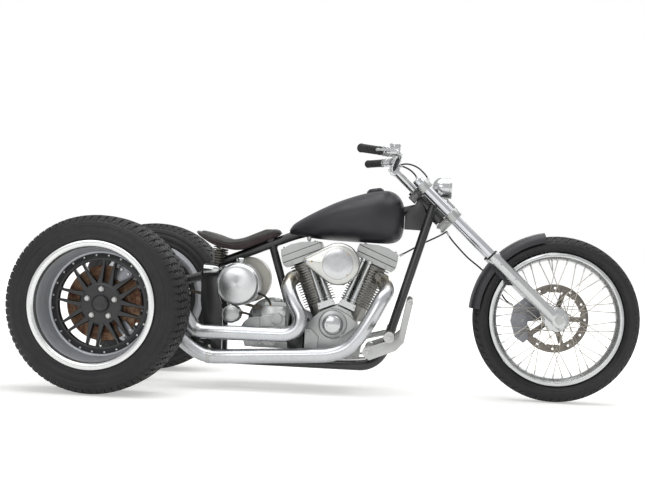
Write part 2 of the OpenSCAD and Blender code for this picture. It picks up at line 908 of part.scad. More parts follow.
module risers() {
    color("#cfcfcd") on_fork() both_sides() difference() {
        union() {
            translate([riser_x, riser_y, top_clamp_s + clamp_h - 4])
                cylinder(d = 30, h = bar_s - top_clamp_s - clamp_h + 4);
            translate([riser_x, riser_y + 16, bar_s]) rotate([90, 0, 0]) cylinder(d = 44, h = 32);
        }
        translate([riser_x, 100, bar_s]) rotate([90, 0, 0]) cylinder(d = bar_d + 0.9, h = 200);
    }
}

// Handlebar: middle run in the risers, then out, up and back to the grips
bar_mid = [1119.2, 0, 950.4];
bar_straight = 64;
bar_route = [[1119.2, 58, 950.4], [1119, 78, 950.6], [1121, 100, 956], [1128, 128, 973],
             [1136, 160, 993], [1139, 186, 1003], [1130, 208, 1006], [1112, 230, 1006],
             [1064, 288, 1006], [1024, 336, 1006]];
grip_in = [1064, 288, 1006];
grip_out = [988, 379, 1006];

module handlebar() {
    color("#d5d5d3") placed() {
        cross_bar(bar_mid.x, bar_mid.z, -bar_straight, bar_straight, bar_d);
        both_sides() swept(smooth(bar_route, 2), bar_d - 0.4, 16, [0, 0, 1]);
    }
}

grip_d = 36;

module grips() {
    color("#171717") placed() both_sides() difference() {
        union() {
            rod(grip_in, grip_out, grip_d);
            rod(grip_out, grip_out + 8 * unit(grip_out - grip_in), grip_d - 6);
        }
        rod(grip_in - 2 * unit(grip_out - grip_in), grip_out - 20 * unit(grip_out - grip_in),
            bar_d + 0.2);
    }
}

// Perch, fluid cup and lever of each hand control
perch_a = [1103, 241, 1006];
perch_b = [1075, 275, 1006];
lever_route = [[1138, 262, 1008], [1126, 306, 1007], [1092, 356, 1004], [1052, 402, 1000]];

module hand_controls() {
    color("#d8d7d2") placed() both_sides() {
        difference() {
            union() {
                rod(perch_a, perch_b, 40);
                rod((perch_a + perch_b) / 2, [1136, 260, 1008], 30);
                translate([1122, 244, 1000]) cylinder(d = 46, h = 42);
            }
            rod(perch_a - 20 * unit(perch_b - perch_a), perch_b + 20 * unit(perch_b - perch_a),
                bar_d + 0.2);
            rod(perch_a - 45 * unit(perch_b - perch_a), perch_a - 5 * unit(perch_b - perch_a),
                bar_d + 3);
        }
        swept(smooth(lever_route, 4), 12, 12, [0, 0, 1]);
    }
}

lamp_mid = [1325, 0, 885];
bucket_d = 92;
bucket_run = 40;
bucket_dome = [96, -6];
lamp_bar = [20, -40, 16, 22];

module headlight() {
    color("#e2e2df") placed() {
        translate([lamp_mid.x + 40, 0, lamp_mid.z]) rotate([0, -90, 0]) {
            cylinder(d = bucket_d, h = bucket_run);
            translate([0, 0, bucket_run]) intersection() {
                translate([0, 0, bucket_dome[1]]) sphere(d = bucket_dome[0]);
                cylinder(d = bucket_d - 1, h = 60);
            }
        }
    }
    color("#b7b8b6") on_fork() difference() {
        translate([-10, -13, low_clamp_s + clamp_h]) cube([42, 26, 46]);
        translate([-60, -50, low_clamp_s + clamp_h + 14]) cube([56, 100, 60]);
    }
    color("#b7b8b6") placed() cross_bar(lamp_mid.x + lamp_bar[0], lamp_mid.z + lamp_bar[1],
                                       -lamp_bar[2], lamp_bar[2], lamp_bar[3]);
}

fender_r = 364;
fender_t = 4;
fender_half = 62;
fender_from = 100;
fender_to = 175;

// Half of the fender's section, radius against width, crowned towards the middle
fender_section = [[fender_r + fender_t, 0], [fender_r + fender_t - 3, 30], [fender_r - 8, 54],
                  [fender_r - 28, fender_half + 3], [fender_r - 40, fender_half + 3],
                  [fender_r - 40, fender_half], [fender_r - 28, fender_half],
                  [fender_r - 11, 51], [fender_r - 3, 29], [fender_r, 0]];

stay_y = [66, 72];
stay_outline = [[1562, 598], [1662, 516], [1652, 486], [1612, 484], [1572, 524], [1530, 566]];
strut_s = [245, 330];
strut_d = 16;

module front_fender() {
    color("#252427") placed() {
        translate([wheelbase, 0, front_r]) rotate([90, 0, 0]) rotate([0, 0, fender_from])
            for (m = [0, 1]) mirror([0, 0, m])
                rotate_extrude(angle = fender_to - fender_from, $fn = 128) polygon(fender_section);
        both_sides() side_plate(stay_y[0], stay_y[1]) polygon(stay_outline);
    }
    color("#252427") on_fork() difference() {
        both_sides() for (s = strut_s)
            translate([-axle_lead, fork_half - fork_leg_d / 2 + strut_d / 2, s]) rotate([90, 0, 0])
                cylinder(d = strut_d, h = fork_half - fork_leg_d / 2 + strut_d / 2 - stay_y[1]);
        fork_bores(fork_leg_d);
    }
}

disc_y = [55, 60];
front_caliper_y = [36, 79];

module front_caliper() {
    color("#a3a4a3") placed() difference() {
        union() {
            side_plate(front_caliper_y[0], front_caliper_y[1])
                polygon([[1655, 395], [1700, 432], [1728, 420], [1712, 330], [1722, 262],
                         [1698, 240], [1664, 262], [1642, 330]]);
            side_plate(68, 79) polygon([[1700, 432], [1760, 400], [1775, 340], [1712, 330]]);
        }
        translate([wheelbase, 68, front_r]) rotate([90, 0, 0])
            cylinder(r = front_disc_d / 2 + 6, h = 20);
    }
}

module front_axle() {
    color("#bdbdbb") placed() {
        cross_bar(wheelbase, front_r, -134, 134, axle_rod_d - lap);
        both_sides() difference() {
            cross_bar(wheelbase, front_r, 62, 79.9, 34);
            cross_bar(wheelbase, front_r, 50, 100, axle_rod_d - lap);
        }
        both_sides() cross_bar(wheelbase, front_r, 130.1, 142, 32);
    }
}

hose_route = [[1352, 36, 700], [1372, 44, 672], [1405, 52, 636], [1448, 58, 594],
              [1490, 66, 562], [1522, 75, 536], [1560, 76, 496], [1596, 76, 450],
              [1620, 75, 418], [1650, 70, 398]];

module brake_hose() {
    color("#161616") placed() swept(smooth(hose_route, 3), 7, 8, [0, 1, 0]);
}

bar_cable_routes = [
    [[1130, 92, 970], [1146, 80, 984], [1178, 60, 986], [1216, 40, 972], [1248, 26, 944],
     [1268, 16, 916]],
    [[1140, -92, 966], [1160, -76, 962], [1184, -60, 952], [1206, -48, 934], [1218, -42, 914]]
];

module bar_cables() {
    color("#1a1a1a") placed() for (r = bar_cable_routes) swept(smooth(r, 3), 7, 8, [0.3, 1, 0]);
}

// ---------------------------------------------------------------- front wheel

// Half section of a tyre: radius against half width, outside then inside
module front_tyre() {
    h = front_tyre_w / 2;
    outer = [[front_rim_d / 2, 27], [front_rim_d / 2 + 16, h - 4], [front_rim_d / 2 + 34, h],
             [front_r - 20, h - 4], [front_r - 7, h - 22], [front_r - 1.5, 12]];
    inner = [[front_r - 12, 8], [front_r - 18, h - 26], [front_r - 28, h - 13],
             [front_rim_d / 2 + 30, h - 10], [front_rim_d / 2 + 12, h - 16],
             [front_rim_d / 2, 18]];
    color("#1d1c1e") on_front_wheel() rotate_extrude($fn = 128)
        polygon(concat(outer, [[front_r, 0]], mirrored(outer), mirrored_back(inner)));
}

// The same half section on the other side, in reverse order
function mirrored(p) = [for (i = [len(p) - 1:-1:0]) [p[i].x, -p[i].y]];
function mirrored_back(p) = concat([for (i = [len(p) - 1:-1:0]) [p[i].x, -p[i].y]],
                                   p);

module front_rim() {
    r = front_rim_d / 2;
    half = [[r, 33], [r, 27], [r - 8, 24], [r - 16, 12], [r - 16, 0]];
    under = [[r - 32, 0], [r - 30, 10], [r - 22, 22], [r - 16, 33]];
    color("#cfd0d1") on_front_wheel() rotate_extrude($fn = 128)
        polygon(concat(half, mirrored(half), mirrored_back(under)));
}

hub_half = 58;
flange_y = 36;
flange_r = 48;

module front_hub() {
    color("#c9caca") on_front_wheel() difference() {
        union() {
            translate([0, 0, -hub_half]) cylinder(d = 52, h = 2 * hub_half - 3);
            for (s = [-1, 1]) translate([0, 0, s * flange_y - 3]) cylinder(r = flange_r + 4, h = 6);
        }
        translate([0, 0, -100]) cylinder(d = axle_rod_d + 2 * running_gap, h = 200);
    }
}

spoke_count = 40;
spoke_d = 3.6;
rim_seat_r = front_rim_d / 2 - 32.5;
spoke_foot_r = flange_r + 2.5;
spoke_skew = 62;

module front_spokes() {
    color("#c2c1bc") on_front_wheel() for (i = [0:spoke_count - 1]) {
        side = i % 2 == 0 ? 1 : -1;
        lean = floor(i / 2) % 2 == 0 ? 1 : -1;
        rim_a = i * 360 / spoke_count;
        hub_a = rim_a + lean * spoke_skew;
        rod([spoke_foot_r * cos(hub_a), spoke_foot_r * sin(hub_a), side * (flange_y + lean * 5)],
            [rim_seat_r * cos(rim_a), rim_seat_r * sin(rim_a), side * 7], spoke_d);
    }
}

arm_count = 5;

module front_disc() {
    color("#8d857c") on_front_wheel() difference() {
        translate([0, 0, disc_y[0]]) linear_extrude(disc_y[1] - disc_y[0]) {
            difference() {
                circle(d = front_disc_d);
                circle(d = front_disc_d - 68);
            }
            difference() {
                circle(r = 40);
                circle(r = 26);
            }
            for (k = [0:arm_count - 1]) rotate(k * 360 / arm_count) translate([34, -11])
                square([82, 22]);
        }
        for (k = [0:23]) rotate(k * 15) translate([130 - 18 * (k % 2), 0, 0])
            cylinder(d = 10, h = 100);
    }
}

// ---------------------------------------------------------------- rear wheels

module rear_tyre() {
    h = rear_tyre_w / 2;
    seat_r = bead_lip_r - 16;
    outer = [[bead_lip_r + 1, h - 6], [bead_lip_r + 22, h - 1], [bead_lip_r + 44, h],
             [rear_r - 28, h - 5], [rear_r - 12, h - 16], [rear_r - 3, h - 34]];
    inner = [[rear_r - 16, h - 42], [rear_r - 26, h - 26], [bead_lip_r + 44, h - 12],
             [bead_lip_r + 18, h - 14], [bead_lip_r - 4, h - 26], [seat_r, h - 28]];
    bead = [[seat_r, h - 6]];
    color("#1d1c1e") rotate_extrude($fn = 128)
        polygon(concat(bead, outer, [[rear_r, 0]], mirrored(outer), mirrored(bead),
                       mirrored_back(inner)));
}

// Section of the deep rim: outside from outer to inner lip, then back along the inside
rim_section = [[247, 132], [247, 126], [231, 123], [231, 100], [221, 92], [221, 46], [212, 38],
               [212, -60], [231, -90], [231, -123], [247, -126], [247, -132], [229, -132],
               [222, -122], [220, -92], [198.02, -56], [198.02, -12], [204, -8], [208, 44],
               [211, 50], [216, 96], [220, 104], [222, 126], [229, 132]];

module rear_rim() {
    color("#bfc0c2") rotate_extrude($fn = 128) polygon(rim_section);
}

window_count = 8;
window_turn = 35;

// Wheel face with eight slots between its paired bars and eight wedges between the pairs
module rear_face() {
    color("#1b1b1c") difference() {
        translate([0, 0, hub_v]) cylinder(r = face_r, h = face_t, $fn = 128);
        for (k = [0:window_count - 1]) rotate(window_turn + k * 360 / window_count) {
            translate([0, 0, hub_v - 1]) linear_extrude(face_t + 2)
                polygon([[96, -12], [96, 12], [172, 17], [172, -17]]);
            rotate(180 / window_count) translate([0, 0, hub_v - 1]) linear_extrude(face_t + 2)
                polygon([[92, -5], [92, 5], [160, 39], [172, 35], [178, 0], [172, -35],
                         [160, -39]]);
        }
        for (k = [0:4]) rotate(18 + k * 72) translate([lug_circle_d / 2, 0, face_v - 14])
            cylinder(d = 30, h = 20);
    }
    color("#1b1b1c") translate([0, 0, face_v]) cylinder(d = 68, h = 12);
}

module rear_hub() {
    color("#7b5a44") {
        translate([0, 0, hub_v - 12]) cylinder(r = 72, h = 12);
        translate([0, 0, hub_v - 30]) cylinder(r = 56, h = 18);
        translate([0, 0, rotor_v[0]]) cylinder(r = rotor_r, h = rotor_v[1] - rotor_v[0]);
        translate([0, 0, hub_v - 96]) cylinder(d = shaft_d, h = 70);
    }
}

module rear_tyre_right() { on_rear_wheel(-1) rear_tyre(); }
module rear_rim_right() { on_rear_wheel(-1) rear_rim(); }
module rear_face_right() { on_rear_wheel(-1) rear_face(); }
module rear_hub_right() { on_rear_wheel(-1) rear_hub(); }
module rear_tyre_left() { on_rear_wheel(1) rear_tyre(); }
module rear_rim_left() { on_rear_wheel(1) rear_rim(); }
module rear_face_left() { on_rear_wheel(1) rear_face(); }
module rear_hub_left() { on_rear_wheel(1) rear_hub(); }

head_tube();
neck_gusset();
backbone();
downtubes();
seat_tube();
lower_rails();
cross_members();
frame_legs();
axle_arms();
axle_housing();
final_drive();
rear_calipers();
fuel_tank();
fuel_cap();
seat();
seat_springs();
oil_tank();
oil_filter();
electrics_drum();
crankcase();
cam_cover();
cylinders();
rocker_boxes();
pushrod_tubes();
air_cleaner();
gearbox();
primary_case();
exhaust_front();
exhaust_rear();
foot_controls();
tail_lamps();
control_cable();
lower_clamp();
upper_clamp();
fork_tubes();
fork_lowers();
risers();
handlebar();
grips();
hand_controls();
headlight();
front_fender();
front_caliper();
front_axle();
brake_hose();
bar_cables();
front_tyre();
front_rim();
front_hub();
front_spokes();
front_disc();
rear_tyre_right();
rear_rim_right();
rear_face_right();
rear_hub_right();
rear_tyre_left();
rear_rim_left();
rear_face_left();
rear_hub_left();
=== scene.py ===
import logging
import math
from dataclasses import dataclass
from enum import Enum
from math import copysign, cos, pi, radians, sin
from typing import Callable, Iterable, Sequence

import bmesh
import bpy
from mathutils import Matrix, Vector


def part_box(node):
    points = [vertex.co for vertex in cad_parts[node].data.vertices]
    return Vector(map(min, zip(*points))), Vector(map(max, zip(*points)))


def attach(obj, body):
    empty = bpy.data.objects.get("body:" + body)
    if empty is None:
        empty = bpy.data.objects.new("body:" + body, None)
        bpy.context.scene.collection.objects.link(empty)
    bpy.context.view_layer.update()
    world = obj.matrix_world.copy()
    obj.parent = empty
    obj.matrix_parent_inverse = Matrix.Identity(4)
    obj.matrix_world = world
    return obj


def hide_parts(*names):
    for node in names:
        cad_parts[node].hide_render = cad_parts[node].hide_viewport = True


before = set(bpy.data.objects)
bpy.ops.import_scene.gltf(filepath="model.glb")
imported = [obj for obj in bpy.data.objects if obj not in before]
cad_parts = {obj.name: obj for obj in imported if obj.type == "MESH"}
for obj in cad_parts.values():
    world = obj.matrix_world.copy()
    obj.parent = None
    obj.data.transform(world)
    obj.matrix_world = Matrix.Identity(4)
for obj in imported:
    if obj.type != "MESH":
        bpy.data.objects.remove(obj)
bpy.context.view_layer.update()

LOG = logging.getLogger("trike")
MM = 0.001
Pair = tuple[float, float]
Triple = tuple[float, float, float]
Colour = Triple
Socket = bpy.types.NodeSocket


class Body(Enum):
    """The five bodies that pieces ride on."""

    CHASSIS = "chassis"
    FRONT_END = "front_end"
    FRONT_WHEEL = "front_wheel"
    RIGHT = "rear_wheel_right"
    LEFT = "rear_wheel_left"


CHASSIS, FRONT_END = Body.CHASSIS, Body.FRONT_END


def shade(code: str) -> Colour:
    """Turn a hex colour such as 2b2b2e into linear values.

    Args:
        code: Six hex digits.

    Returns:
        Linear red, green and blue.
    """
    parts = [int(code[i : i + 2], 16) / 255 for i in (0, 2, 4)]
    r, g, b = [c / 12.92 if c < 0.04045 else ((c + 0.055) / 1.055) ** 2.4 for c in parts]
    return (r, g, b)


# --- places


@dataclass(frozen=True)
class Place:
    """A corner to measure from: its origin in metres and three unit axes."""

    origin: Vector
    x: Vector
    y: Vector
    z: Vector

    def p(self, a: float, b: float, c: float) -> Vector:
        """Point at a, b, c millimetres along the axes."""
        return self.origin + (self.x * a + self.y * b + self.z * c) * MM

    def moved(self, a: float, b: float, c: float) -> "Place":
        """The same axes from the point a, b, c."""
        return Place(self.p(a, b, c), self.x, self.y, self.z)

    def facing(self, towards: Vector) -> "Place":
        """The same origin with z turned towards a direction.

        Args:
            towards: Direction of the new z axis.

        Returns:
            A right-handed place whose x stays as near as it can.
        """
        z = towards.normalized()
        x = self.x - z * self.x.dot(z)
        if x.length < 0.2:
            x = self.y - z * self.y.dot(z)
        x.normalize()
        return Place(self.origin, x, z.cross(x), z)


X, Y, Z = Vector((1, 0, 0)), Vector((0, 1, 0)), Vector((0, 0, 1))


def middle(node: str) -> Vector:
    """Middle of a node's box."""
    low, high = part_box(node)
    return (low + high) / 2


REAR_AXLE = middle("rear_hub_right")
FRONT_AXLE = middle("front_hub")
GROUND = Place(Vector((REAR_AXLE.x, 0, 0)), X, Y, Z)
pt = GROUND.p
RAKE = radians(47)
FORK = Place(
    Vector((FRONT_AXLE.x, 0, FRONT_AXLE.z)),
    Vector((cos(RAKE), 0, sin(RAKE))),
    Y,
    Vector((-sin(RAKE), 0, cos(RAKE))),
)
CRANK = (903, 190)
BANK_ANGLE = radians(22.5)


def near_side(x: float, z: float) -> Place:
    """Place on the middle plane with its z towards the near side."""
    return Place(pt(x, 0, z), X, Z, -Y)


def bank(rear: bool) -> Place:
    """Place with its origin at the crankshaft and z up one cylinder.

    Args:
        rear: True for the rear cylinder.

    Returns:
        The place; its x points away from the other cylinder.
    """
    turn = -1 if rear else 1
    z = Vector((turn * sin(BANK_ANGLE), 0, cos(BANK_ANGLE)))
    x = Vector((turn * cos(BANK_ANGLE), 0, -sin(BANK_ANGLE)))
    return Place(pt(CRANK[0], 0, CRANK[1]), x, Y, z)


def wheel_place(centre: Vector, side: int) -> Place:
    """Place at a wheel's middle with z outboard and x forward."""
    z = Y * side
    return Place(centre.copy(), X, z.cross(X), z)


# --- finishes


def put_in(name: str, data: bpy.types.ID) -> bpy.types.Object:
    """A new object that holds the data, linked to the scene."""
    made = bpy.data.objects.new(name, data)
    bpy.context.scene.collection.objects.link(made)
    return made


def baked(made: bpy.types.Object) -> bpy.types.Mesh:
    """The object's mesh with its modifiers applied."""
    return bpy.data.meshes.new_from_object(made.evaluated_get(bpy.context.evaluated_depsgraph_get()))


def add_node(tree: bpy.types.NodeTree, kind: str, inputs: dict[object, object], **props: object) -> bpy.types.Node:
    """Add a node to a tree.

    Args:
        tree: The tree.
        kind: Node type.
        inputs: Values or sockets by input name or number.
        **props: Settings of the node itself.

    Returns:
        The node.
    """
    node = tree.nodes.new(kind)
    for name, value in props.items():
        setattr(node, name, value)
    for name, value in inputs.items():
        if isinstance(value, Socket):
            tree.links.new(value, node.inputs[name])
        else:
            node.inputs[name].default_value = value
    return node


class Web:
    """A material's node tree in the making."""

    def __init__(self, name: str) -> None:
        """Start an empty material with its output and main shader."""
        self.material = bpy.data.materials.new(name)
        self.material.use_nodes = True
        self.tree = self.material.node_tree
        self.tree.nodes.clear()
        self.out = self.tree.nodes.new("ShaderNodeOutputMaterial")
        self.shader = self.tree.nodes.new("ShaderNodeBsdfPrincipled")
        self.join(self.shader.outputs[0], self.out.inputs["Surface"])
        self.place = self.tree.nodes.new("ShaderNodeTexCoord").outputs["Object"]

    def join(self, a: Socket, b: Socket) -> None:
        """Join an output to an input."""
        self.tree.links.new(a, b)

    def put(self, kind: str, inputs: dict[object, object], **props: object) -> bpy.types.Node:
        """Add a node, as add_node does."""
        return add_node(self.tree, kind, inputs, **props)

    def stretched(self, scale: Sequence[float], centre: Sequence[float] = (0, 0, 0)) -> Socket:
        """Object coordinates from a centre, stretched by a scale."""
        off = self.put("ShaderNodeVectorMath", {0: self.place, 1: tuple(centre)}, operation="SUBTRACT")
        out = self.put("ShaderNodeVectorMath", {0: off.outputs[0], 1: tuple(scale)}, operation="MULTIPLY")
        return out.outputs[0]

    def rings(self, centre: Sequence[float], axis: Sequence[float]) -> Socket:
        """Distance from a line through a centre, as a vector's x.

        Args:
            centre: A point on the line.
            axis: 1 for the directions that count and 0 for the line's own.

        Returns:
            A vector socket that changes with the distance only.
        """
        flat = self.stretched(axis, centre)
        far = self.put("ShaderNodeVectorMath", {0: flat}, operation="LENGTH")
        vec = self.put("ShaderNodeCombineXYZ", {"X": far.outputs["Value"]})
        return vec.outputs[0]

    def noise(
        self, scale: float, detail: float = 3, rough: float = 0.55, vector: Socket | None = None
    ) -> Socket:
        """Noise value at a scale, over the whole piece or a given vector."""
        node = self.put(
            "ShaderNodeTexNoise",
            {"Vector": vector or self.place, "Scale": scale, "Detail": detail, "Roughness": rough},
        )
        return node.outputs["Fac"]

    def span(
        self, value: Socket, low: float, high: float, start: float = 0.3, stop: float = 0.7
    ) -> Socket:
        """Map a value from start..stop to low..high."""
        node = self.put(
            "ShaderNodeMapRange",
            {"Value": value, "From Min": start, "From Max": stop, "To Min": low, "To Max": high},
        )
        return node.outputs[0]

    def blend(
        self, amount: Socket | float, a: object, b: object, mode: str = "MIX"
    ) -> Socket:
        """Blend two colours."""
        pair = [(*v, 1.0) if isinstance(v, tuple) else v for v in (a, b)]
        node = self.put(
            "ShaderNodeMix", {0: amount, 6: pair[0], 7: pair[1]}, data_type="RGBA", blend_type=mode
        )
        return node.outputs[2]

    def bump(self, height: Socket, depth: float, before: Socket | None = None) -> Socket:
        """Bump of a depth in millimetres, on top of another bump."""
        inputs: dict[object, object] = {"Height": height, "Distance": depth * MM, "Strength": 1.0}
        if before:
            inputs["Normal"] = before
        return self.put("ShaderNodeBump", inputs).outputs[0]


@dataclass(frozen=True)
class Finish:
    """What every finish has: a name, a colour and a roughness."""

    name: str
    colour: Colour
    rough: float

    def material(self) -> bpy.types.Material:
        """The finish's material, made once."""
        title = f"{self.name}_finish"
        found = bpy.data.materials.get(title)
        if found:
            return found
        web = Web(title)
        self.weave(web)
        return web.material

    def weave(self, web: Web) -> None:
        """Fill the node tree; each kind of finish has its own."""
        raise NotImplementedError

    def tone(self, web: Web, amount: float, scale: float, dark: float = 0.72) -> Socket:
        """The colour with soft lighter and darker patches."""
        deep = (self.colour[0] * dark, self.colour[1] * dark, self.colour[2] * dark)
        patch = web.span(web.noise(scale, 4), 0, amount)
        return web.blend(patch, self.colour, deep)


@dataclass(frozen=True)
class Metal(Finish):
    """Bare metal: cast, brushed, turned or polished."""

    spread: float = 0.08
    grain: float = 900.0
    depth: float = 0.02
    patch: float = 12.0
    stain: float = 0.35
    brush: Triple | None = None
    rings: tuple[Triple, Triple] | None = None
    swirl: float = 0.0
    bare: float = 1.0

    def weave(self, web: Web) -> None:
        """Grain, brushing or turning rings, with dull patches."""
        s = web.shader.inputs
        s["Metallic"].default_value = self.bare
        web.join(self.tone(web, self.stain, self.patch), s["Base Color"])
        if self.rings:
            fine = web.noise(self.grain, 2, 0.6, web.rings(*self.rings))
            s["Anisotropic"].default_value = self.swirl
            spoke = web.stretched(self.rings[1], self.rings[0])
            pin = tuple(1 - v for v in self.rings[1])
            around = web.put("ShaderNodeVectorMath", {0: spoke, 1: pin}, operation="CROSS_PRODUCT")
            web.join(around.outputs[0], s["Tangent"])
        elif self.brush:
            fine = web.noise(self.grain, 2, 0.6, web.stretched(self.brush))
        else:
            fine = web.noise(self.grain, 3, 0.6)
        dull = web.noise(self.patch * 2.3, 4, 0.6)
        both = web.put("ShaderNodeMath", {0: fine, 1: dull}, operation="ADD").outputs[0]
        web.join(
            web.span(both, max(self.rough - self.spread, 0.03), self.rough + self.spread, 0.7, 1.3), s["Roughness"]
        )
        web.join(web.bump(fine, self.depth), s["Normal"])


@dataclass(frozen=True)
class Paint(Finish):
    """Satin or matt paint with dust and a fine texture."""

    coat: float = 0.0
    dust: float = 0.25
    grain: float = 700.0
    depth: float = 0.03

    def weave(self, web: Web) -> None:
        """Paint with soft dust on it and a little orange peel."""
        s = web.shader.inputs
        s["Coat Weight"].default_value = self.coat
        s["Coat Roughness"].default_value = 0.22
        haze = tuple(min(c * 1.5 + 0.012, 1.0) for c in self.colour)
        cloud = web.span(web.noise(9, 5, 0.6), 0, self.dust)
        web.join(web.blend(cloud, self.colour, haze), s["Base Color"])
        web.join(web.span(web.noise(26, 4), self.rough - 0.05, self.rough + 0.07), s["Roughness"])
        web.join(web.bump(web.noise(self.grain, 3), self.depth), s["Normal"])


@dataclass(frozen=True)
class Rubber(Finish):
    """Tyre, grip and hose rubber, with rings round a wheel where it has one."""

    centre: Triple | None = None
    ring_scale: float = 420.0

    def weave(self, web: Web) -> None:
        """Greyish bloom, a fine grain and moulded rings."""
        s = web.shader.inputs
        grey = tuple(c * 1.7 + 0.006 for c in self.colour)
        bloom = web.span(web.noise(14, 5, 0.62), 0, 0.75)
        web.join(web.blend(bloom, self.colour, grey), s["Base Color"])
        web.join(web.span(web.noise(60, 4), self.rough - 0.08, self.rough + 0.08), s["Roughness"])
        s["Specular IOR Level"].default_value = 0.4
        fine = web.bump(web.noise(1400, 3), 0.05)
        if self.centre:
            rings = web.noise(self.ring_scale, 1, 0.5, web.rings(self.centre, (1, 0, 1)))
            fine = web.bump(rings, 0.35, fine)
        web.join(fine, s["Normal"])


@dataclass(frozen=True)
class Leather(Finish):
    """Worn leather: pebbled grain, creases and rubbed lighter places."""

    worn: Colour = (0.1, 0.07, 0.05)

    def weave(self, web: Web) -> None:
        """Pebbles from a cell pattern, with long creases and rubbing."""
        s = web.shader.inputs
        cell = web.put(
            "ShaderNodeTexVoronoi", {"Vector": web.place, "Scale": 520.0, "Randomness": 1.0}, feature="DISTANCE_TO_EDGE"
        ).outputs["Distance"]
        rub = web.span(web.noise(22, 6, 0.65), 0, 0.8, 0.42, 0.75)
        web.join(web.blend(rub, self.colour, self.worn), s["Base Color"])
        web.join(web.span(web.noise(48, 4), self.rough - 0.1, self.rough + 0.1), s["Roughness"])
        s["Sheen Weight"].default_value = 0.06
        pebble = web.bump(web.span(cell, 0, 1, 0.0, 0.25), 0.22)
        crease = web.noise(16, 5, 0.7, web.stretched((0.6, 2.4, 1)))
        web.join(web.bump(crease, 1.1, pebble), s["Normal"])


@dataclass(frozen=True)
class Glass(Finish):
    """Clear or coloured glass, with a faint film on it."""

    def weave(self, web: Web) -> None:
        """Clear body with a little haze."""
        s = web.shader.inputs
        s["Base Color"].default_value = (*self.colour, 1.0)
        s["Transmission Weight"].default_value = 1.0
        s["IOR"].default_value = 1.46
        web.join(web.span(web.noise(30, 4), self.rough, self.rough + 0.06), s["Roughness"])
        web.join(web.bump(web.noise(60, 2), 0.05), s["Normal"])


@dataclass(frozen=True)
class Rust(Finish):
    """Brake iron that has browned, with bare rubbed rings."""

    centre: Triple = (0, 0, 0)
    bare: Colour = (0.32, 0.26, 0.2)

    def weave(self, web: Web) -> None:
        """Brown bloom over iron, rubbed bright in rings."""
        s = web.shader.inputs
        rings = web.noise(260, 3, 0.6, web.rings(self.centre, (1, 0, 1)))
        cloud = web.noise(40, 6, 0.7)
        both = web.put("ShaderNodeMath", {0: rings, 1: cloud}, operation="ADD").outputs[0]
        rub = web.span(both, 0, 1, 0.85, 1.2)
        web.join(web.blend(rub, self.colour, self.bare), s["Base Color"])
        s["Metallic"].default_value = 0.65
        web.join(web.span(rub, self.rough + 0.15, self.rough - 0.1, 0, 1), s["Roughness"])
        web.join(web.bump(both, 0.12), s["Normal"])


@dataclass(frozen=True)
class Heated(Metal):
    """Pipe steel that has coloured from heat next to a flange."""

    spots: tuple[Triple, ...] = ()
    reach: float = 0.16
    straw: Colour = (0.62, 0.47, 0.28)

    def weave(self, web: Web) -> None:
        """Bare steel first, then a warm tint close to each spot."""
        super().weave(web)
        base = web.shader.inputs["Base Color"]
        colour = base.links[0].from_socket
        for spot in self.spots:
            off = web.put("ShaderNodeVectorMath", {0: web.place, 1: spot}, operation="SUBTRACT")
            far = web.put("ShaderNodeVectorMath", {0: off.outputs[0]}, operation="LENGTH").outputs["Value"]
            near = web.span(far, 0.75, 0.0, 0.03, self.reach)
            colour = web.blend(near, colour, self.straw)
        web.join(colour, base)


def near(v: Vector) -> Triple:
    """A vector as a plain triple."""
    return (v.x, v.y, v.z)


RIGHT_MID, LEFT_MID = middle("rear_rim_right"), middle("rear_rim_left")
FRAME_PAINT = Paint("frame_black", shade("1d1d1f"), 0.34, coat=0.35, dust=0.15)
TANK_PAINT = Paint("tank_black", shade("212026"), 0.42, dust=0.12, depth=0.02)
FENDER_PAINT = Paint("fender_black", shade("26252b"), 0.42, dust=0.14)
FACE_PAINT = Paint("face_black", shade("1a1a1c"), 0.4, coat=0.25, dust=0.12)
CREAM_PAINT = Paint("drum_cream", shade("cfccc2"), 0.35, coat=0.3, dust=0.1)
CAST = Metal("engine_alloy", shade("adafae"), 0.38, spread=0.12, grain=1500, depth=0.07, stain=0.4)
FINS = Metal("fin_alloy", shade("aaa9a5"), 0.42, spread=0.12, grain=1300, depth=0.05, stain=0.5, patch=20)
POLISHED = Metal("polished_alloy", shade("c2c4c5"), 0.2, spread=0.07, depth=0.008, stain=0.2)
CHROME = Metal("fork_chrome", shade("c9cbd0"), 0.07, spread=0.03, depth=0.002, stain=0.1)
LOWER = Metal("lower_alloy", shade("c3c4c5"), 0.27, brush=(40, 40, 2), grain=50, depth=0.015, stain=0.15)
STEEL = Metal("bolt_steel", shade("b9b9b8"), 0.26, spread=0.1, depth=0.01, stain=0.3, patch=60)
SPRING = Metal("spring_steel", shade("7d7970"), 0.3, stain=0.5, patch=60)
CHAIN = Metal("chain_steel", shade("7d776c"), 0.38, stain=0.6, patch=90)
SPOKE = Metal("spoke_steel", shade("a8a299"), 0.24, stain=0.3, patch=50)
DISC = Metal("disc_steel", shade("7a756f"), 0.34, stain=0.45, patch=30, grain=900)
CALIPER = Metal("caliper_alloy", shade("83858a"), 0.38, spread=0.12, grain=1500, depth=0.06)
BRASS = Metal("fitting_brass", shade("b89560"), 0.3, stain=0.4, patch=80)
BLACK_RUBBER = Rubber("grip_rubber", shade("1b1b1c"), 0.62)
CABLE_BLACK = Rubber("cable_black", shade("161617"), 0.45)
GASKET = Rubber("gasket_dark", shade("3a3836"), 0.7)
SEAT_LEATHER = Leather("seat_leather", shade("1f1c1b"), 0.5, worn=shade("393230"))
SEAT_SIDE = Leather("seat_side", shade("453638"), 0.55, worn=shade("5e4c4d"))
PIPING = Leather("seat_piping", shade("1f1a18"), 0.5, worn=shade("3d322c"))
CLEAR = Glass("lens_clear", (0.95, 0.97, 0.97), 0.02)
RED_GLASS = Glass("lens_red", (0.75, 0.03, 0.02), 0.08)


# --- mesh making


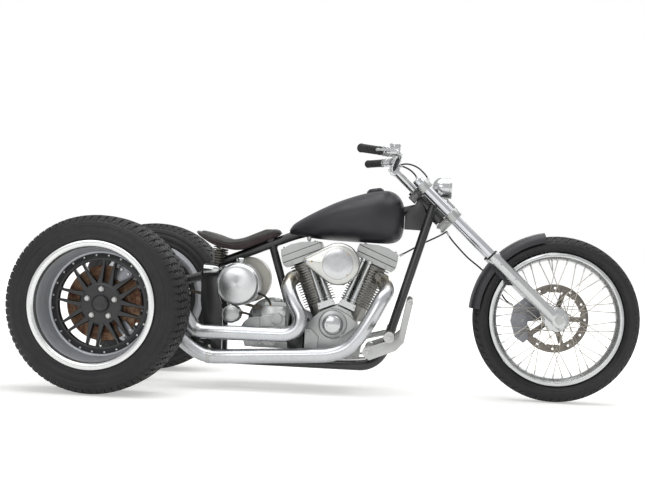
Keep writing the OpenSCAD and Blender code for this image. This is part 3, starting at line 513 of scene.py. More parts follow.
def soft_path(points: Sequence[Vector], steps: int) -> list[Vector]:
    """A smooth line through points.

    Args:
        points: The points that it passes.
        steps: Steps between each two.

    Returns:
        The line's points.
    """
    line: list[Vector] = []
    last = len(points) - 1
    for i in range(last):
        a, b, c, d = (points[min(max(i + k, 0), last)] for k in (-1, 0, 1, 2))
        for j in range(steps):
            t = j / steps
            line.append(
                0.5
                * (2 * b + (c - a) * t + (2 * a - 5 * b + 4 * c - d) * t * t + (3 * b - a - 3 * c + d) * t**3)
            )
    return line + [points[-1].copy()]


def circle_outline(r: float, count: int, centre: Pair = (0, 0), start: float = 0) -> list[Pair]:
    """Points round a circle, in millimetres."""
    return [
        (
            centre[0] + r * cos(radians(start + 360 * k / count)),
            centre[1] + r * sin(radians(start + 360 * k / count)),
        )
        for k in range(count)
    ]


def belt(big: Sequence[float], small: Sequence[float], far: int, near_steps: int) -> list[Pair]:
    """Outline of a belt round two wheels.

    Args:
        big: The larger wheel as (x, z, radius).
        small: The smaller one.
        far: Steps round the larger wheel.
        near_steps: Steps round the smaller one.

    Returns:
        Points in order.
    """
    dist, tilt = math.hypot(small[0] - big[0], small[1] - big[1]), math.atan2(small[1] - big[1], small[0] - big[0])
    part = math.acos((big[2] - small[2]) / dist)
    pts: list[Pair] = []
    for (x, z, r), start, turn, steps in (
        (big, tilt + part, 2 * pi - 2 * part, far), (small, tilt - part, 2 * part, near_steps)
    ):
        pts += [(x + r * cos(start + turn * k / steps),
            z + r * sin(start + turn * k / steps)) for k in range(steps + 1)]
    return pts


def sweep(line: Sequence[Vector], rads: Sequence[float], sides: int, side: Vector) -> list[list[Vector]]:
    """Round sections square to a line at each of its points.

    Args:
        line: Points in metres.
        rads: Radius at each point in millimetres.
        sides: Steps round.
        side: Direction that the first section starts near.

    Returns:
        The sections' points.
    """
    rings = []
    for i, p in enumerate(line):
        along = (line[min(i + 1, len(line) - 1)] - line[max(i - 1, 0)]).normalized()
        side = (side - along * side.dot(along)).normalized()
        other = along.cross(side)
        turns = (2 * pi * k / sides for k in range(sides))
        rings.append([p + (side * cos(a) + other * sin(a)) * rads[i] * MM for a in turns])
    return rings


class Solid:
    """A closed mesh in the making."""

    def __init__(self) -> None:
        """Start empty."""
        self.bm = bmesh.new()

    def skin(self, rings: Sequence[Sequence[Vector]], loop: bool = False, caps: bool = True) -> "Solid":
        """Join rings that have the same number of points.

        Args:
            rings: The rings, each a closed loop of points.
            loop: Also join the last ring to the first.
            caps: Close the first and last rings.

        Returns:
            This solid.
        """
        rows = [[self.bm.verts.new(p) for p in ring] for ring in rings]
        n = len(rows[0])
        pairs = list(zip(rows, rows[1:])) + ([(rows[-1], rows[0])] if loop else [])
        for a, b in pairs:
            for k in range(n):
                self.bm.faces.new((a[k], a[(k + 1) % n], b[(k + 1) % n], b[k]))
        if caps and not loop:
            self.bm.faces.new(rows[0])
            self.bm.faces.new(list(reversed(rows[-1])))
        return self

    def lathe(self, place: Place, profile: Sequence[Pair], n: int = 48, loop: bool = False) -> "Solid":
        """Turn a profile of (radius, height) round the place's z.

        Args:
            place: Where, with z along the axis.
            profile: Radius and height in millimetres; radius 0 closes an end.
            n: Steps round.
            loop: The profile is a closed loop that never meets the axis.

        Returns:
            This solid.
        """
        rows: list[list[bmesh.types.BMVert]] = []
        for r, h in profile:
            if r < 1e-6:
                rows.append([self.bm.verts.new(place.p(0, 0, h))])
            else:
                ring = [(cos(2 * pi * k / n), sin(2 * pi * k / n)) for k in range(n)]
                rows.append([self.bm.verts.new(place.p(r * c, r * s, h)) for c, s in ring])
        pairs = list(zip(rows, rows[1:])) + ([(rows[-1], rows[0])] if loop else [])
        for a, b in pairs:
            for k in range(n):
                j = (k + 1) % n
                if len(a) == 1:
                    self.bm.faces.new((a[0], b[j], b[k]))
                elif len(b) == 1:
                    self.bm.faces.new((a[k], a[j], b[0]))
                else:
                    self.bm.faces.new((a[k], a[j], b[j], b[k]))
        if not loop:
            for row in (rows[0], rows[-1]):
                if len(row) > 1:
                    self.bm.faces.new(row)
        return self

    def prism(self, place: Place, outline: Sequence[Pair], low: float, high: float) -> "Solid":
        """Raise an outline in the place's x, y from low to high along z."""
        return self.skin([[place.p(a, b, h) for a, b in outline] for h in (low, high)])

    def plate(self, outline: Sequence[Pair], y0: float, y1: float, place: Place = GROUND) -> "Solid":
        """Raise a side outline (x, z) from y0 to y1."""
        return self.skin([[place.p(a, y, b) for a, b in outline] for y in (y0, y1)])

    def tube(self, line: Sequence[Vector], radius: float | Sequence[float], sides: int = 16) -> "Solid":
        """Sweep a round section along a line.

        Args:
            line: Points in metres.
            radius: Radius in millimetres, one or one for each point.
            sides: Steps round.

        Returns:
            This solid.
        """
        rads = list(radius) if isinstance(radius, (list, tuple)) else [float(radius)] * len(line)
        return self.skin(sweep(line, rads, sides, Vector((0.13, 0.31, 0.94))))

    def bar(self, a: Vector, b: Vector, radius: float, sides: int = 24) -> "Solid":
        """A straight round bar."""
        return self.tube([a, b], radius, sides)

    def copy_node(self, node: str, flatten: bool = True) -> "Solid":
        """Take in a merged copy of a CAD node's mesh, with flat faces joined or left as they are."""
        extra = bmesh.new()
        extra.from_mesh(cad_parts[node].data)
        bmesh.ops.remove_doubles(extra, verts=extra.verts, dist=2e-6)
        if flatten:
            bmesh.ops.dissolve_limit(
                extra, angle_limit=radians(0.4), verts=extra.verts, edges=extra.edges
            )
        mesh = bpy.data.meshes.new("copy")
        extra.to_mesh(mesh)
        extra.free()
        self.bm.from_mesh(mesh)
        bpy.data.meshes.remove(mesh)
        return self

    def mesh(self, name: str) -> bpy.types.Mesh:
        """Close the work into a mesh with its faces outwards."""
        bmesh.ops.recalc_face_normals(self.bm, faces=self.bm.faces)
        made = bpy.data.meshes.new(name)
        self.bm.to_mesh(made)
        self.bm.free()
        return made

    def piece(self, name: str, *rest: object, **more: object) -> bpy.types.Object:
        """Make the finished piece; what follows the name is as in dress."""
        return dress(self.mesh(name), name, *rest, **more)


def dress(
    mesh: bpy.types.Mesh,
    name: str,
    finish: Finish,
    body: Body,
    bevel: float = 0,
    angle: float = 32,
    segments: int = 2,
    smooth: int = 0,
    replaces: Sequence[str] = (),
    slot: str = "",
) -> bpy.types.Object:
    """Turn a mesh into a riding, finished piece.

    Args:
        mesh: Its mesh.
        name: Its name.
        finish: Its finish.
        body: The body it rides on.
        bevel: Width of its softened edges in millimetres.
        angle: Edges sharper than this are softened.
        segments: Steps of the softened edges.
        smooth: Subdivision levels.
        replaces: CAD nodes that it stands for.
        slot: The record's slot, where it isn't the finish's name; not used.

    Returns:
        The piece.
    """
    made = put_in(name, mesh)
    mesh.materials.clear()
    mesh.materials.append(finish.material())
    mesh.shade_smooth()
    if smooth:
        sub = made.modifiers.new("Smooth", "SUBSURF")
        sub.levels = sub.render_levels = smooth
    if bevel:
        soft = made.modifiers.new("Soft edges", "BEVEL")
        soft.width = bevel * MM
        soft.segments = segments
        soft.limit_method = "ANGLE"
        soft.angle_limit = radians(angle)
        soft.harden_normals = True
        soft.miter_outer = "MITER_ARC"
    elif not smooth:
        mesh.set_sharp_from_angle(angle=radians(angle + 8))
    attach(made, body.value)
    if replaces:
        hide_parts(*replaces)
    return made


def soften(node: str, finish: Finish, body: Body, bevel: float, segments: int = 2, slot: str = "") -> bpy.types.Object:
    """Replace a CAD node by the same shape with softened edges."""
    return Solid().copy_node(node).piece(
        f"{node}_soft", finish, body, bevel, segments=segments, replaces=(node,), slot=slot
    )


def repaint(finish: Finish, *nodes: str) -> None:
    """Give CAD nodes that stay their finish."""
    for node in nodes:
        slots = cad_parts[node].material_slots
        for s in slots:
            s.material = finish.material()


# --- what repeats


@dataclass(frozen=True)
class Spot:
    """Where a repeated shape goes: its place, the way it faces and its size."""

    at: Vector
    facing: Vector
    along: Vector = X
    size: float = 1.0


def finish_nodes(tree: bpy.types.NodeTree, last: bpy.types.Node, finish: Socket) -> None:
    """End a tree: realize the instances, set the material, send it out."""
    real = add_node(tree, "GeometryNodeRealizeInstances", {0: last.outputs[0]})
    paint = add_node(tree, "GeometryNodeSetMaterial", {"Geometry": real.outputs[0], "Material": finish})
    add_node(tree, "NodeGroupOutput", {0: paint.outputs[0]})


class Repeater:
    """Copies a small shape to many spots with Geometry Nodes."""

    marks = (("facing", "FLOAT_VECTOR"), ("along", "FLOAT_VECTOR"), ("size", "FLOAT"))

    def __init__(self) -> None:
        """Build the tree once."""
        tree = bpy.data.node_groups.new("Repeat shape", "GeometryNodeTree")
        face = tree.interface
        face.new_socket("Spots", in_out="INPUT", socket_type="NodeSocketGeometry")
        self.shape = face.new_socket("Shape", in_out="INPUT", socket_type="NodeSocketObject").identifier
        self.scale = face.new_socket("Scale", in_out="INPUT", socket_type="NodeSocketFloat").identifier
        self.finish = face.new_socket("Finish", in_out="INPUT", socket_type="NodeSocketMaterial").identifier
        face.new_socket("Shapes", in_out="OUTPUT", socket_type="NodeSocketGeometry")
        start = add_node(tree, "NodeGroupInput", {}).outputs
        named = [
            add_node(tree, "GeometryNodeInputNamedAttribute", {"Name": key}, data_type=kind).outputs["Attribute"]
            for key, kind in self.marks
        ]
        up = add_node(tree, "FunctionNodeAlignRotationToVector", {"Vector": named[0]}, axis="Z")
        turn = add_node(
            tree, "FunctionNodeAlignRotationToVector", {"Rotation": up.outputs[0], "Vector": named[1]},
            axis="X", pivot_axis="Z",
        )
        size = add_node(tree, "ShaderNodeMath", {0: named[2], 1: start["Scale"]}, operation="MULTIPLY")
        info = add_node(tree, "GeometryNodeObjectInfo", {"Object": start["Shape"]})
        put = add_node(tree, "GeometryNodeInstanceOnPoints", {
            "Points": start["Spots"], "Instance": info.outputs["Geometry"], "Rotation": turn.outputs[0],
            "Scale": size.outputs[0],
        })
        finish_nodes(tree, put, start["Finish"])
        self.tree = tree

    def run(
        self,
        name: str,
        shape: Solid,
        spots: Iterable[Spot],
        finish: Finish,
        body: Body,
        scale: float = 1.0,
        sharp: float = 40,
        replaces: Sequence[str] = (),
    ) -> bpy.types.Object:
        """Make one piece of many copies.

        Args:
            name: The piece's name.
            shape: The small shape, round the origin with z outwards.
            spots: Where it goes.
            finish: Its finish.
            body: The body it rides on.
            scale: Size on top of each spot's own.
            sharp: Edges sharper than this stay crisp.
            replaces: CAD nodes that it stands for.

        Returns:
            The piece.
        """
        chosen = list(spots)
        mould = bpy.data.objects.new("mould", shape.mesh("mould"))
        mould.data.shade_smooth()
        cloud = bpy.data.meshes.new("spots")
        cloud.from_pydata([s.at for s in chosen], [], [])
        for key, kind in self.marks:
            values = cloud.attributes.new(key, kind, "POINT")
            for item, s in zip(values.data, chosen):
                if key == "size":
                    item.value = s.size
                else:
                    item.vector = getattr(s, key)
        holder = put_in("holder", cloud)
        bpy.context.scene.collection.objects.link(mould)
        made = holder.modifiers.new("Repeat", "NODES")
        made.node_group = self.tree
        made[self.shape], made[self.scale], made[self.finish] = mould, scale, finish.material()
        mesh = baked(holder)
        holder.modifiers.remove(made)
        bpy.data.objects.remove(holder)
        bpy.data.objects.remove(mould)
        mesh.name = name
        for key, _ in self.marks:
            found = mesh.attributes.get(key)
            if found:
                mesh.attributes.remove(found)
        return dress(mesh, name, finish, body, angle=sharp - 8, replaces=replaces)


REPEAT = Repeater()


class Head(Enum):
    """Kinds of screw and nut heads, as (radius, height) profiles of radius 1."""

    SOCKET = ((0, 0), (1, 0), (1, 1.0), (0.88, 1.15), (0.6, 1.15), (0.54, 0.55), (0, 0.55))
    DOME = ((0, 0), (1, 0), (0.97, 0.3), (0.75, 0.6), (0.4, 0.78), (0, 0.84))
    WASHER = ((0, 0), (1.3, 0), (1.3, 0.22), (1.0, 0.24), (0.97, 0.9), (0.85, 1.05), (0, 1.05))
    CAP = ((0, 0), (1, 0), (1, 0.5), (0.9, 0.66), (0, 0.7))


def head(kind: Head, sides: int = 12) -> Solid:
    """A screw head of 1 mm radius."""
    flat = Place(Vector(), X, Y, Z)
    return Solid().lathe(flat, [(r, h) for r, h in kind.value], sides)


def nut_head() -> Solid:
    """A hexagon on a washer, 1 mm across its flats' half."""
    flat = Place(Vector(), X, Y, Z)
    made = Solid().lathe(flat, [(0, 0), (1.35, 0), (1.35, 0.2), (0, 0.2)], 14)
    return made.lathe(flat, [(0, 0.2), (1.12, 0.2), (1.12, 0.95), (0.95, 1.1), (0, 1.1)], 6)


def fasten(name: str, spots: Iterable[Spot], body: Body = CHASSIS, finish: Finish = STEEL) -> None:
    """Put a socket head at each spot."""
    REPEAT.run(name, head(Head.SOCKET), spots, finish, body)


def ring_spots(place: Place, r: float, count: int, height: float, size: float, start: float = 0) -> list[Spot]:
    """Spots on a circle round a place's z, facing along z."""
    return [
        Spot(place.p(a, b, height), place.z, place.x, size)
        for a, b in circle_outline(r, count, start=start)
    ]


# --- wheels


@dataclass(frozen=True)
class Tread:
    """One row of tread blocks: edges across the tyre, and its part of each pitch."""

    low: float
    high: float
    start: float
    stop: float
    skew: float
    steps: int = 2


@dataclass
class Tyre:
    """A tyre: carcass with moulded rings and rows of tread blocks."""

    node: str
    centre: Vector
    side: int
    body: Body
    crown: Sequence[Pair]
    wall: Sequence[Pair]
    inner: Sequence[Pair]
    rows: Sequence[Tread]
    pitches: int
    depth: float

    def top(self, v: float) -> float:
        """Radius of the tread's surface at a distance from the middle."""
        for (r0, v0), (r1, v1) in zip(self.crown, self.crown[1:]):
            if v <= v1:
                return r0 + (r1 - r0) * (v - v0) / (v1 - v0)
        return self.crown[-1][0]

    def carcass(self, finish: Finish) -> None:
        """The tyre's body under its tread, closed round the inside."""
        outer = [(r - self.depth * (1 if v < self.crown[-2][1] + 1 else 0.2), v) for r, v in self.crown]
        half = list(self.wall) + list(reversed(outer))
        back = list(reversed([(r, -v) for r, v in half if v > 0.01]))
        inside = [(r, -v) for r, v in reversed(self.inner)] + list(self.inner)
        place = wheel_place(self.centre, self.side)
        solid = Solid().lathe(place, half + back + inside, 160, loop=True)
        solid.piece(f"{self.node}_carcass", finish, self.body, replaces=(self.node,), angle=50)

    def blocks(self, finish: Finish) -> None:
        """The rows of blocks, one pitch repeated round the wheel."""
        pitch = Solid()
        step = 2 * pi / self.pitches
        for row in self.rows:
            for flip in (1, -1) if row.low >= 0 else (1,):
                rings = []
                for j in range(row.steps + 1):
                    v = row.low + (row.high - row.low) * j / row.steps
                    top = self.top(abs(v))
                    shift = row.skew * j / row.steps + (0.5 if flip < 0 else 0)
                    a0, a1 = (row.start + shift) * step, (row.stop + shift) * step
                    ease = 0.03 * step
                    pts = [(top - self.depth - 1.5, a0), (top, a0 + ease), (top, a1 - ease), (top - self.depth - 1.5,
                        a1)]
                    rings.append([Vector((r * cos(a), r * sin(a), v * flip)) * MM for r, a in pts])
                pitch.skin(rings)
        place = wheel_place(self.centre, self.side)
        spots = [
            Spot(place.origin, place.z, place.x * cos(k * step) + place.y * sin(k * step))
            for k in range(self.pitches)
        ]
        REPEAT.run(f"{self.node}_tread", pitch, spots, finish, self.body, sharp=25)

    def build(self) -> None:
        """Both pieces."""
        side = Rubber(f"{self.node}_rubber", shade("161517"), 0.5, centre=near(self.centre))
        self.carcass(side)
        self.blocks(Rubber("tread_rubber", shade("1d1c1d"), 0.66))


@dataclass
class RearWheel:
    """A deep-dished rear wheel with its bolts, nuts, cap and brake iron."""

    hand: str
    side: int
    face_depth: float = 146
    rim_half: float = 132
    ring_r: float = 191
    lug_r: float = 57.15

    def build(self) -> None:
        """Tyre, rim, face, brake iron and what fastens them."""
        body = Body.RIGHT if self.side < 0 else Body.LEFT
        centre = REAR_AXLE.copy() if self.side < 0 else Vector((REAR_AXLE.x, -REAR_AXLE.y, REAR_AXLE.z))
        low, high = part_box(f"rear_rim_{self.hand}")
        centre.y = (low.y + high.y) / 2
        place = wheel_place(centre, self.side)
        Tyre(
            f"rear_tyre_{self.hand}",
            centre,
            self.side,
            body,
            crown=[(346, 0), (345.4, 50), (343, 95), (336, 110), (318, 124)],
            wall=[(231, 123), (248, 122.5), (250, 126), (262, 127.6), (263, 126.6), (272, 127.6), (273, 128.6), (291,
                129),
                  (292, 127.8), (302, 127.2), (303, 128.2), (310, 126)],
            inner=[(231, 101), (248, 104), (290, 117), (320, 103), (330, 87)],
            rows=[
                Tread(-13, 13, 0.04, 0.9, 0.25, 2),
                Tread(19, 47, 0.02, 0.84, 0.35, 2),
                Tread(53, 84, 0.06, 0.86, 0.2, 2),
                Tread(90, 119, 0.05, 0.8, 0.12, 4),
            ],
            pitches=74,
            depth=6.5,
        ).build()
        lip = Metal(f"rim_lip_{self.hand}", shade("dcdddd"), 0.24, spread=0.04, grain=900, depth=0.004, bare=0.9,
                    stain=0.1, rings=(near(centre), (1, 0, 1)))
        barrel = Metal(f"rim_barrel_{self.hand}", shade("c9ccd1"), 0.5, bare=0.55, spread=0.08, grain=1500, depth=0.05,
                       stain=0.25, rings=(near(centre), (1, 0, 1)))
        self.rim(place, body, lip, barrel)
        rust = Rust(f"rotor_rust_{self.hand}", shade("6d4532"), 0.55, centre=near(centre), bare=shade("a68a70"))
        soften(f"rear_hub_{self.hand}", rust, body, 1.0, slot="rotor_rust")
        face_h = self.rim_half - self.face_depth
        self.face(place, body, face_h)
        fasten(f"ring_bolts_{self.hand}", ring_spots(place, self.ring_r, 24, face_h - 3.4, 4.2, 7.5), body)
        REPEAT.run(f"lug_nuts_{self.hand}", nut_head(), ring_spots(place, self.lug_r, 5, face_h - 1.5, 9.5, 18),
                   STEEL, body)
        cap = Solid().lathe(place.moved(0, 0, face_h), [(34, 0), (34, 12), (31, 15), (24, 17), (22, 16), (0, 17)], 48)
        cap.piece(f"hub_cap_{self.hand}", FACE_PAINT, body, 1.0)

    def face(self, place: Place, body: Body, top: float) -> None:
        """The face: middle, ring and eight pairs of tapered bars between them.

        Args:
            place: The wheel's place.
            body: The body it rides on.
            top: Height of the face along the axle.
        """
        back = top - 30
        solid = Solid().lathe(place, [(0, back), (84, back), (88, top - 9), (86, top - 4), (78, top - 0.6), (70, top),
            (0, top)], 96)
        solid.lathe(place, [(171, back), (197.5, back), (197.5, top - 5), (195.5, top - 3.6), (184, top - 3.2), (179,
            top - 1),
                            (173, top - 1), (171, top - 3)], 144, loop=True)
        for k in range(16):
            turn = radians(35 + 45 * (k // 2))
            flip = 1 if k % 2 else -1
            c, s = cos(turn), sin(turn)
            rings = []
            for x, low, high in ((76, 9, 33), (86, 11, 32), (98, 12, 30), (112, 13, 28.6), (130, 14.2, 27.1), (148,
                    15.4, 25.6), (162, 16.3, 24.6),
                                 (169, 16.8, 27), (176, 17.2, 33)):
                pts = ((low, back), (low, top - 3.6), (low + 1.8, top - 1.2), (high - 1.8, top - 1.2), (high,
                    top - 3.6), (high, back))
                rings.append([place.p(x * c - y * flip * s, x * s + y * flip * c, h) for y, h in pts])
            solid.skin(rings)
        for at in ring_spots(place, self.lug_r, 5, top, 1, 18):
            cup = Place(at.at, place.x, place.y, place.z)
            solid.lathe(cup, [(11, -2), (11, 0.6), (12.5, 1.4), (14.5, 0.9), (15.5, -0.5), (15.5, -2)], 32, loop=True)
        solid.piece(f"wheel_face_{self.hand}", FACE_PAINT, body, angle=40, replaces=(f"rear_face_{self.hand}",))

    def rim(self, place: Place, body: Body, lip: Finish, barrel: Finish) -> None:
        """The rim, with a bright lip and a machined barrel.

        Args:
            place: The wheel's place.
            body: The body it rides on.
            lip: Finish of the lip.
            barrel: Finish of the rest.
        """
        section = [
            (246.5, 131), (247, 129), (246.5, 127), (244, 126), (231, 123), (231, 100), (221, 92), (221, 46),
            (212, 38), (212, -60), (231, -90), (231, -123), (247, -126), (247, -131), (229, -131), (222, -122),
            (220, -92), (198, -56), (198, -14), (200, -12), (204.3, -9), (206, -4), (208.2, 42), (210, 47),
            (212, 52), (215.6, 92), (217.5, 98), (219.5, 102), (220.6, 106), (222, 124), (224, 128),
            (228.5, 131), (232, 132), (244, 132),
        ]
        solid = Solid().lathe(place, section, 160, loop=True)
        made = solid.piece(f"rim_{self.hand}", barrel, body, angle=26, replaces=(f"rear_rim_{self.hand}",),
                           slot="rim_alloy")
        made.data.materials.append(lip.material())
        for face in made.data.polygons:
            off = face.center - place.origin
            if off.dot(place.z) > 0.1015 and (off - place.z * off.dot(place.z)).length > 0.2185:
                face.material_index = 1


@dataclass
class FrontWheel:
    """The tall laced front wheel."""

    spokes: int = 40
    hub_r: float = 50
    seat_r: float = 248
    skew: float = 62
    flange: float = 36

    def build(self) -> None:
        """Tyre, rim, hub, spokes, nipples, disc and valve."""
        body = Body.FRONT_WHEEL
        centre = Vector((FRONT_AXLE.x, 0, FRONT_AXLE.z))
        place = wheel_place(centre, 1)
        Tyre(
            "front_tyre", centre, 1, body,
            crown=[(350, 0), (348.5, 12), (343, 30), (333, 44), (318, 51)],
            wall=[(281, 25), (292, 42), (298, 47.5), (299, 46.8), (306, 50), (307, 51), (313, 51.8)],
            inner=[(281, 18), (292, 36), (311, 41), (322, 38), (332, 26)],
            rows=[
                Tread(-6, 6, 0.0, 0.86, 0.3, 1),
                Tread(9, 24, 0.02, 0.82, 0.5, 2),
                Tread(27, 46, 0.05, 0.84, -0.3, 3),
            ],
            pitches=64,
            depth=4.5,
        ).build()
        rim = Metal("front_rim_metal", shade("c6c7c8"), 0.24, spread=0.08, grain=700, depth=0.02, stain=0.2,
                    rings=(near(centre), (1, 0, 1)))
        soften("front_rim", rim, body, 1.5, 2, slot="rim_alloy")
        soften("front_hub", POLISHED, body, 1.5)
        soften("front_disc", DISC, body, 0.7)
        self.lace(place, body)
        disc_place = place.moved(0, 0, 60)
        fasten("disc_bolts", ring_spots(disc_place, 33, 5, 0, 4.5, 36) + ring_spots(disc_place, 110, 5, 0, 4), body)
        stem = Solid().lathe(place.facing(Vector((0.1, 0, -1))), [
            (4, -250), (4, -246), (2.6, -244), (2.6, -214), (3.2, -213), (3.2, -206), (0, -205)], 12)
        stem.piece("front_valve", STEEL, body)

    def lace(self, place: Place, body: Body) -> None:
        """Forty crossed spokes with their nipples, each repeated from one shape."""
        ways: dict[int, list[Spot]] = {1: [], -1: []}
        nipples: list[Spot] = []
        length = 0.0
        for i in range(self.spokes):
            side = 1 if i % 2 == 0 else -1
            lean = 1 if (i // 2) % 2 == 0 else -1
            rim_a = radians(i * 360 / self.spokes)
            hub_a = rim_a + radians(lean * self.skew)
            foot = place.p(self.hub_r * cos(hub_a), self.hub_r * sin(hub_a), side * (self.flange + lean * 5))
            seat = place.p(self.seat_r * cos(rim_a), self.seat_r * sin(rim_a), side * 7)
            length = (seat - foot).length
            ways[lean].append(Spot(foot, (seat - foot).normalized(), place.z * side, length / 0.2))
            nipples.append(Spot(seat, (foot - seat).normalized(), place.z, 1))
        flat = Place(Vector(), X, Y, Z)
        for lean, spots in ways.items():
            span = spots[0].size * 0.2 / MM
            thick = 1.8 * 200 / span
            shape = Solid().lathe(flat, [(0, 0), (thick, 0), (thick * 0.84, 30), (thick * 0.84, 170), (thick, 200), (0,
                200)], 8)
            shape.tube([flat.p(0, 0, 0.6), flat.p(-2.6 * lean, 0, -0.4), flat.p(-5.5 * lean, 0, 0)], [thick, thick,
                thick * 1.6], 8)
            REPEAT.run(f"spokes_{'out' if lean > 0 else 'in'}", shape, spots, SPOKE, body,
                       replaces=("front_spokes",))
        shape = Solid().lathe(flat, [(0, -3), (3.6, -3), (3.6, 1), (3.1, 2), (3.1, 14), (2.4, 15.5), (0, 15.5)], 8)
        REPEAT.run("nipples", shape, nipples, STEEL, body)


# --- frame and axle


@dataclass
class Chassis:
    """Frame tubes, rear axle, brakes and final chain."""

    chain_y: float = 105
    chain_pitch: float = 15.875
    axle: Triple = (0, 346, 92)
    gear: Triple = (602, 275, 46)

    def tubes(self) -> None:
        """Painted tubes and plates, with weld beads at five joints."""
        repaint(FRAME_PAINT, "backbone", "downtubes", "seat_tube", "lower_rails", "axle_arms", "head_tube")
        for node, edge in (("neck_gusset", 1.5), ("cross_members", 3), ("frame_legs", 4), ("axle_housing", 3)):
            soften(node, FRAME_PAINT, CHASSIS, edge)
        beads = [
            (pt(607, 0, 616), pt(720, 0, 262), 17.4, 20),
        ]
        for x, high, low, off in ((338, 470, 372, 16), (352, 165, 322, 14)):
            beads += [(pt(x, y, high), pt(0, y, low), 17.5, off) for y in (72, -72)]
        weld = Solid()
        for a, b, r, off in beads:
            place = Place(a, X, Y, Z).facing(b - a)
            self.bead(weld, place.moved(0, 0, off), r)
        weld.piece("weld_beads", FRAME_PAINT, CHASSIS)

    def bead(self, solid: Solid, place: Place, r: float) -> None:
        """A rippled ring of weld round a tube."""
        rings = []
        count = 72
        for k in range(count):
            a = 2 * pi * k / count
            big = 2.6 + 0.5 * sin(k * 1.57)
            radial = place.x * cos(a) + place.y * sin(a)
            mid = place.origin + radial * r * MM
            rings.append([mid + (radial * cos(t) + place.z * sin(t)) * big * MM
                          for t in (0, pi / 3, 2 * pi / 3, pi, 4 * pi / 3, 5 * pi / 3)])
        solid.skin(rings, loop=True)

    def brakes(self) -> None:
        """Rear calipers with their bolts."""
        soften("rear_calipers", CALIPER, CHASSIS, 3, 2)
        low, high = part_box("rear_calipers")
        spots = []
        for side in (-1, 1):
            for angle in (57, -47):
                a = radians(angle)
                for off in (-16, 16):
                    x = 152 * cos(a) - off * sin(a)
                    z = 152 * sin(a) + off * cos(a)
                    edge = low.y if side < 0 else high.y
                    spots.append(Spot(Vector((pt(x, 0, 0).x, edge, (346 + z) * MM)), Y * side, X, 6))
        fasten("rear_caliper_bolts", spots)

    def loop(self) -> list[tuple[Vector, Vector]]:
        """Evenly spaced places along the chain with its direction at each."""
        pts = belt(self.axle, self.gear, 120, 80)
        pts.append(pts[0])
        total = sum(math.dist(a, b) for a, b in zip(pts, pts[1:]))
        count = 2 * round(total / self.chain_pitch / 2)
        step, due, gone = total / count, 0.0, 0.0
        made: list[tuple[Vector, Vector]] = []
        for a, b in zip(pts, pts[1:]):
            span = math.dist(a, b)
            while due < gone + span - 1e-9 and len(made) < count:
                t = (due - gone) / span
                way = Vector((b[0] - a[0], 0, b[1] - a[1])).normalized()
                made.append((pt(a[0] + (b[0] - a[0]) * t, self.chain_y, a[1] + (b[1] - a[1]) * t), way))
                due += step
            gone += span
        return made

    def drive(self) -> None:
        """Roller chain, link by link, on its two toothed wheels."""
        flat = Place(Vector(), X, Y, Z)
        for name, gap, start in (("inner_links", 3.6, 0), ("outer_links", 5.2, 1)):
            link = Solid()
            outline = circle_outline(6.2, 10, (-7.9, 0), 90)[:6] + circle_outline(6.2, 10, (7.9, 0), 270)[:6]
            for side in (-1, 1):
                link.prism(flat, outline, side * gap - 0.7, side * gap + 0.7)
            for off in (-7.9, 7.9):
                link.lathe(flat.moved(off, 0, 0), [(0, -6), (2.6, -6), (2.6, 6), (0, 6)], 8)
                if start == 0:
                    link.lathe(flat.moved(off, 0, 0), [(0, -2.8), (5, -2.8), (5, 2.8), (0, 2.8)], 10)
            spots = [Spot(at, Y, way) for at, way in self.loop()[start::2]]
            REPEAT.run(name, link, spots, CHAIN, CHASSIS, replaces=("final_drive",))
        wheels = Solid()
        for (x, z, r), teeth in ((self.axle, 36), (self.gear, 18)):
            outline = []
            for k in range(teeth * 4):
                a = radians(360 * k / teeth / 4)
                reach = r + (3.5 if k % 4 in (1, 2) else -5)
                outline.append((x + reach * cos(a), z + reach * sin(a)))
            wheels.plate(outline, self.chain_y - 2.4, self.chain_y + 2.4)
        wheels.lathe(Place(pt(0, 0, 346), Z, X, Y), [(38.5, 89), (60, 89), (60, 104), (38.5, 104)], 48, loop=True)
        wheels.lathe(Place(pt(602, 0, 275), Z, X, Y), [(0, 85), (25, 85), (25, 108), (0, 108)], 32)
        wheels.piece("sprockets", CHAIN, CHASSIS, 0.6)
        boss = Place(pt(0, self.chain_y + 2.4, 346), X, -Z, Y)
        REPEAT.run("sprocket_bolts", nut_head(), ring_spots(boss, 50, 6, 0, 6), STEEL, CHASSIS)

    def build(self) -> None:
        """All of the frame's pieces."""
        self.tubes()
        self.brakes()
        self.drive()


# --- tank, seat, drums


def body_rings(sections: Sequence[Sequence[float]], steps: int, count: int, dish: float = 0) -> list[list[Vector]]:
    """Rounded sections along x, eased from one to the next.

    Args:
        sections: Rows of (x, half width, low, high, power) in millimetres.
        steps: Steps between rows.
        count: Points round each section.
        dish: How far the middle of the top is pressed in.

    Returns:
        The sections' points.
    """
    wide = soft_path([Vector((s[0], s[1], 0)) for s in sections], steps)
    tall = soft_path([Vector((s[2], s[3], s[4])) for s in sections], steps)
    rings = []
    for w, t in zip(wide, tall):
        ring = []
        for k in range(count):
            a = 2 * pi * k / count
            c, s = cos(a), sin(a)
            y = w.y * copysign(abs(c) ** (2 / t.z), c)
            dent = dish * (1 - (y / max(w.y, 1)) ** 2) * (1 if s > 0 else 0) * min(1, w.y / 120)
            z = (t.x + t.y) / 2 + (t.y - t.x) / 2 * copysign(abs(s) ** (2 / t.z), s) - dent
            ring.append(pt(w.x, y, z))
        rings.append(ring)
    return rings


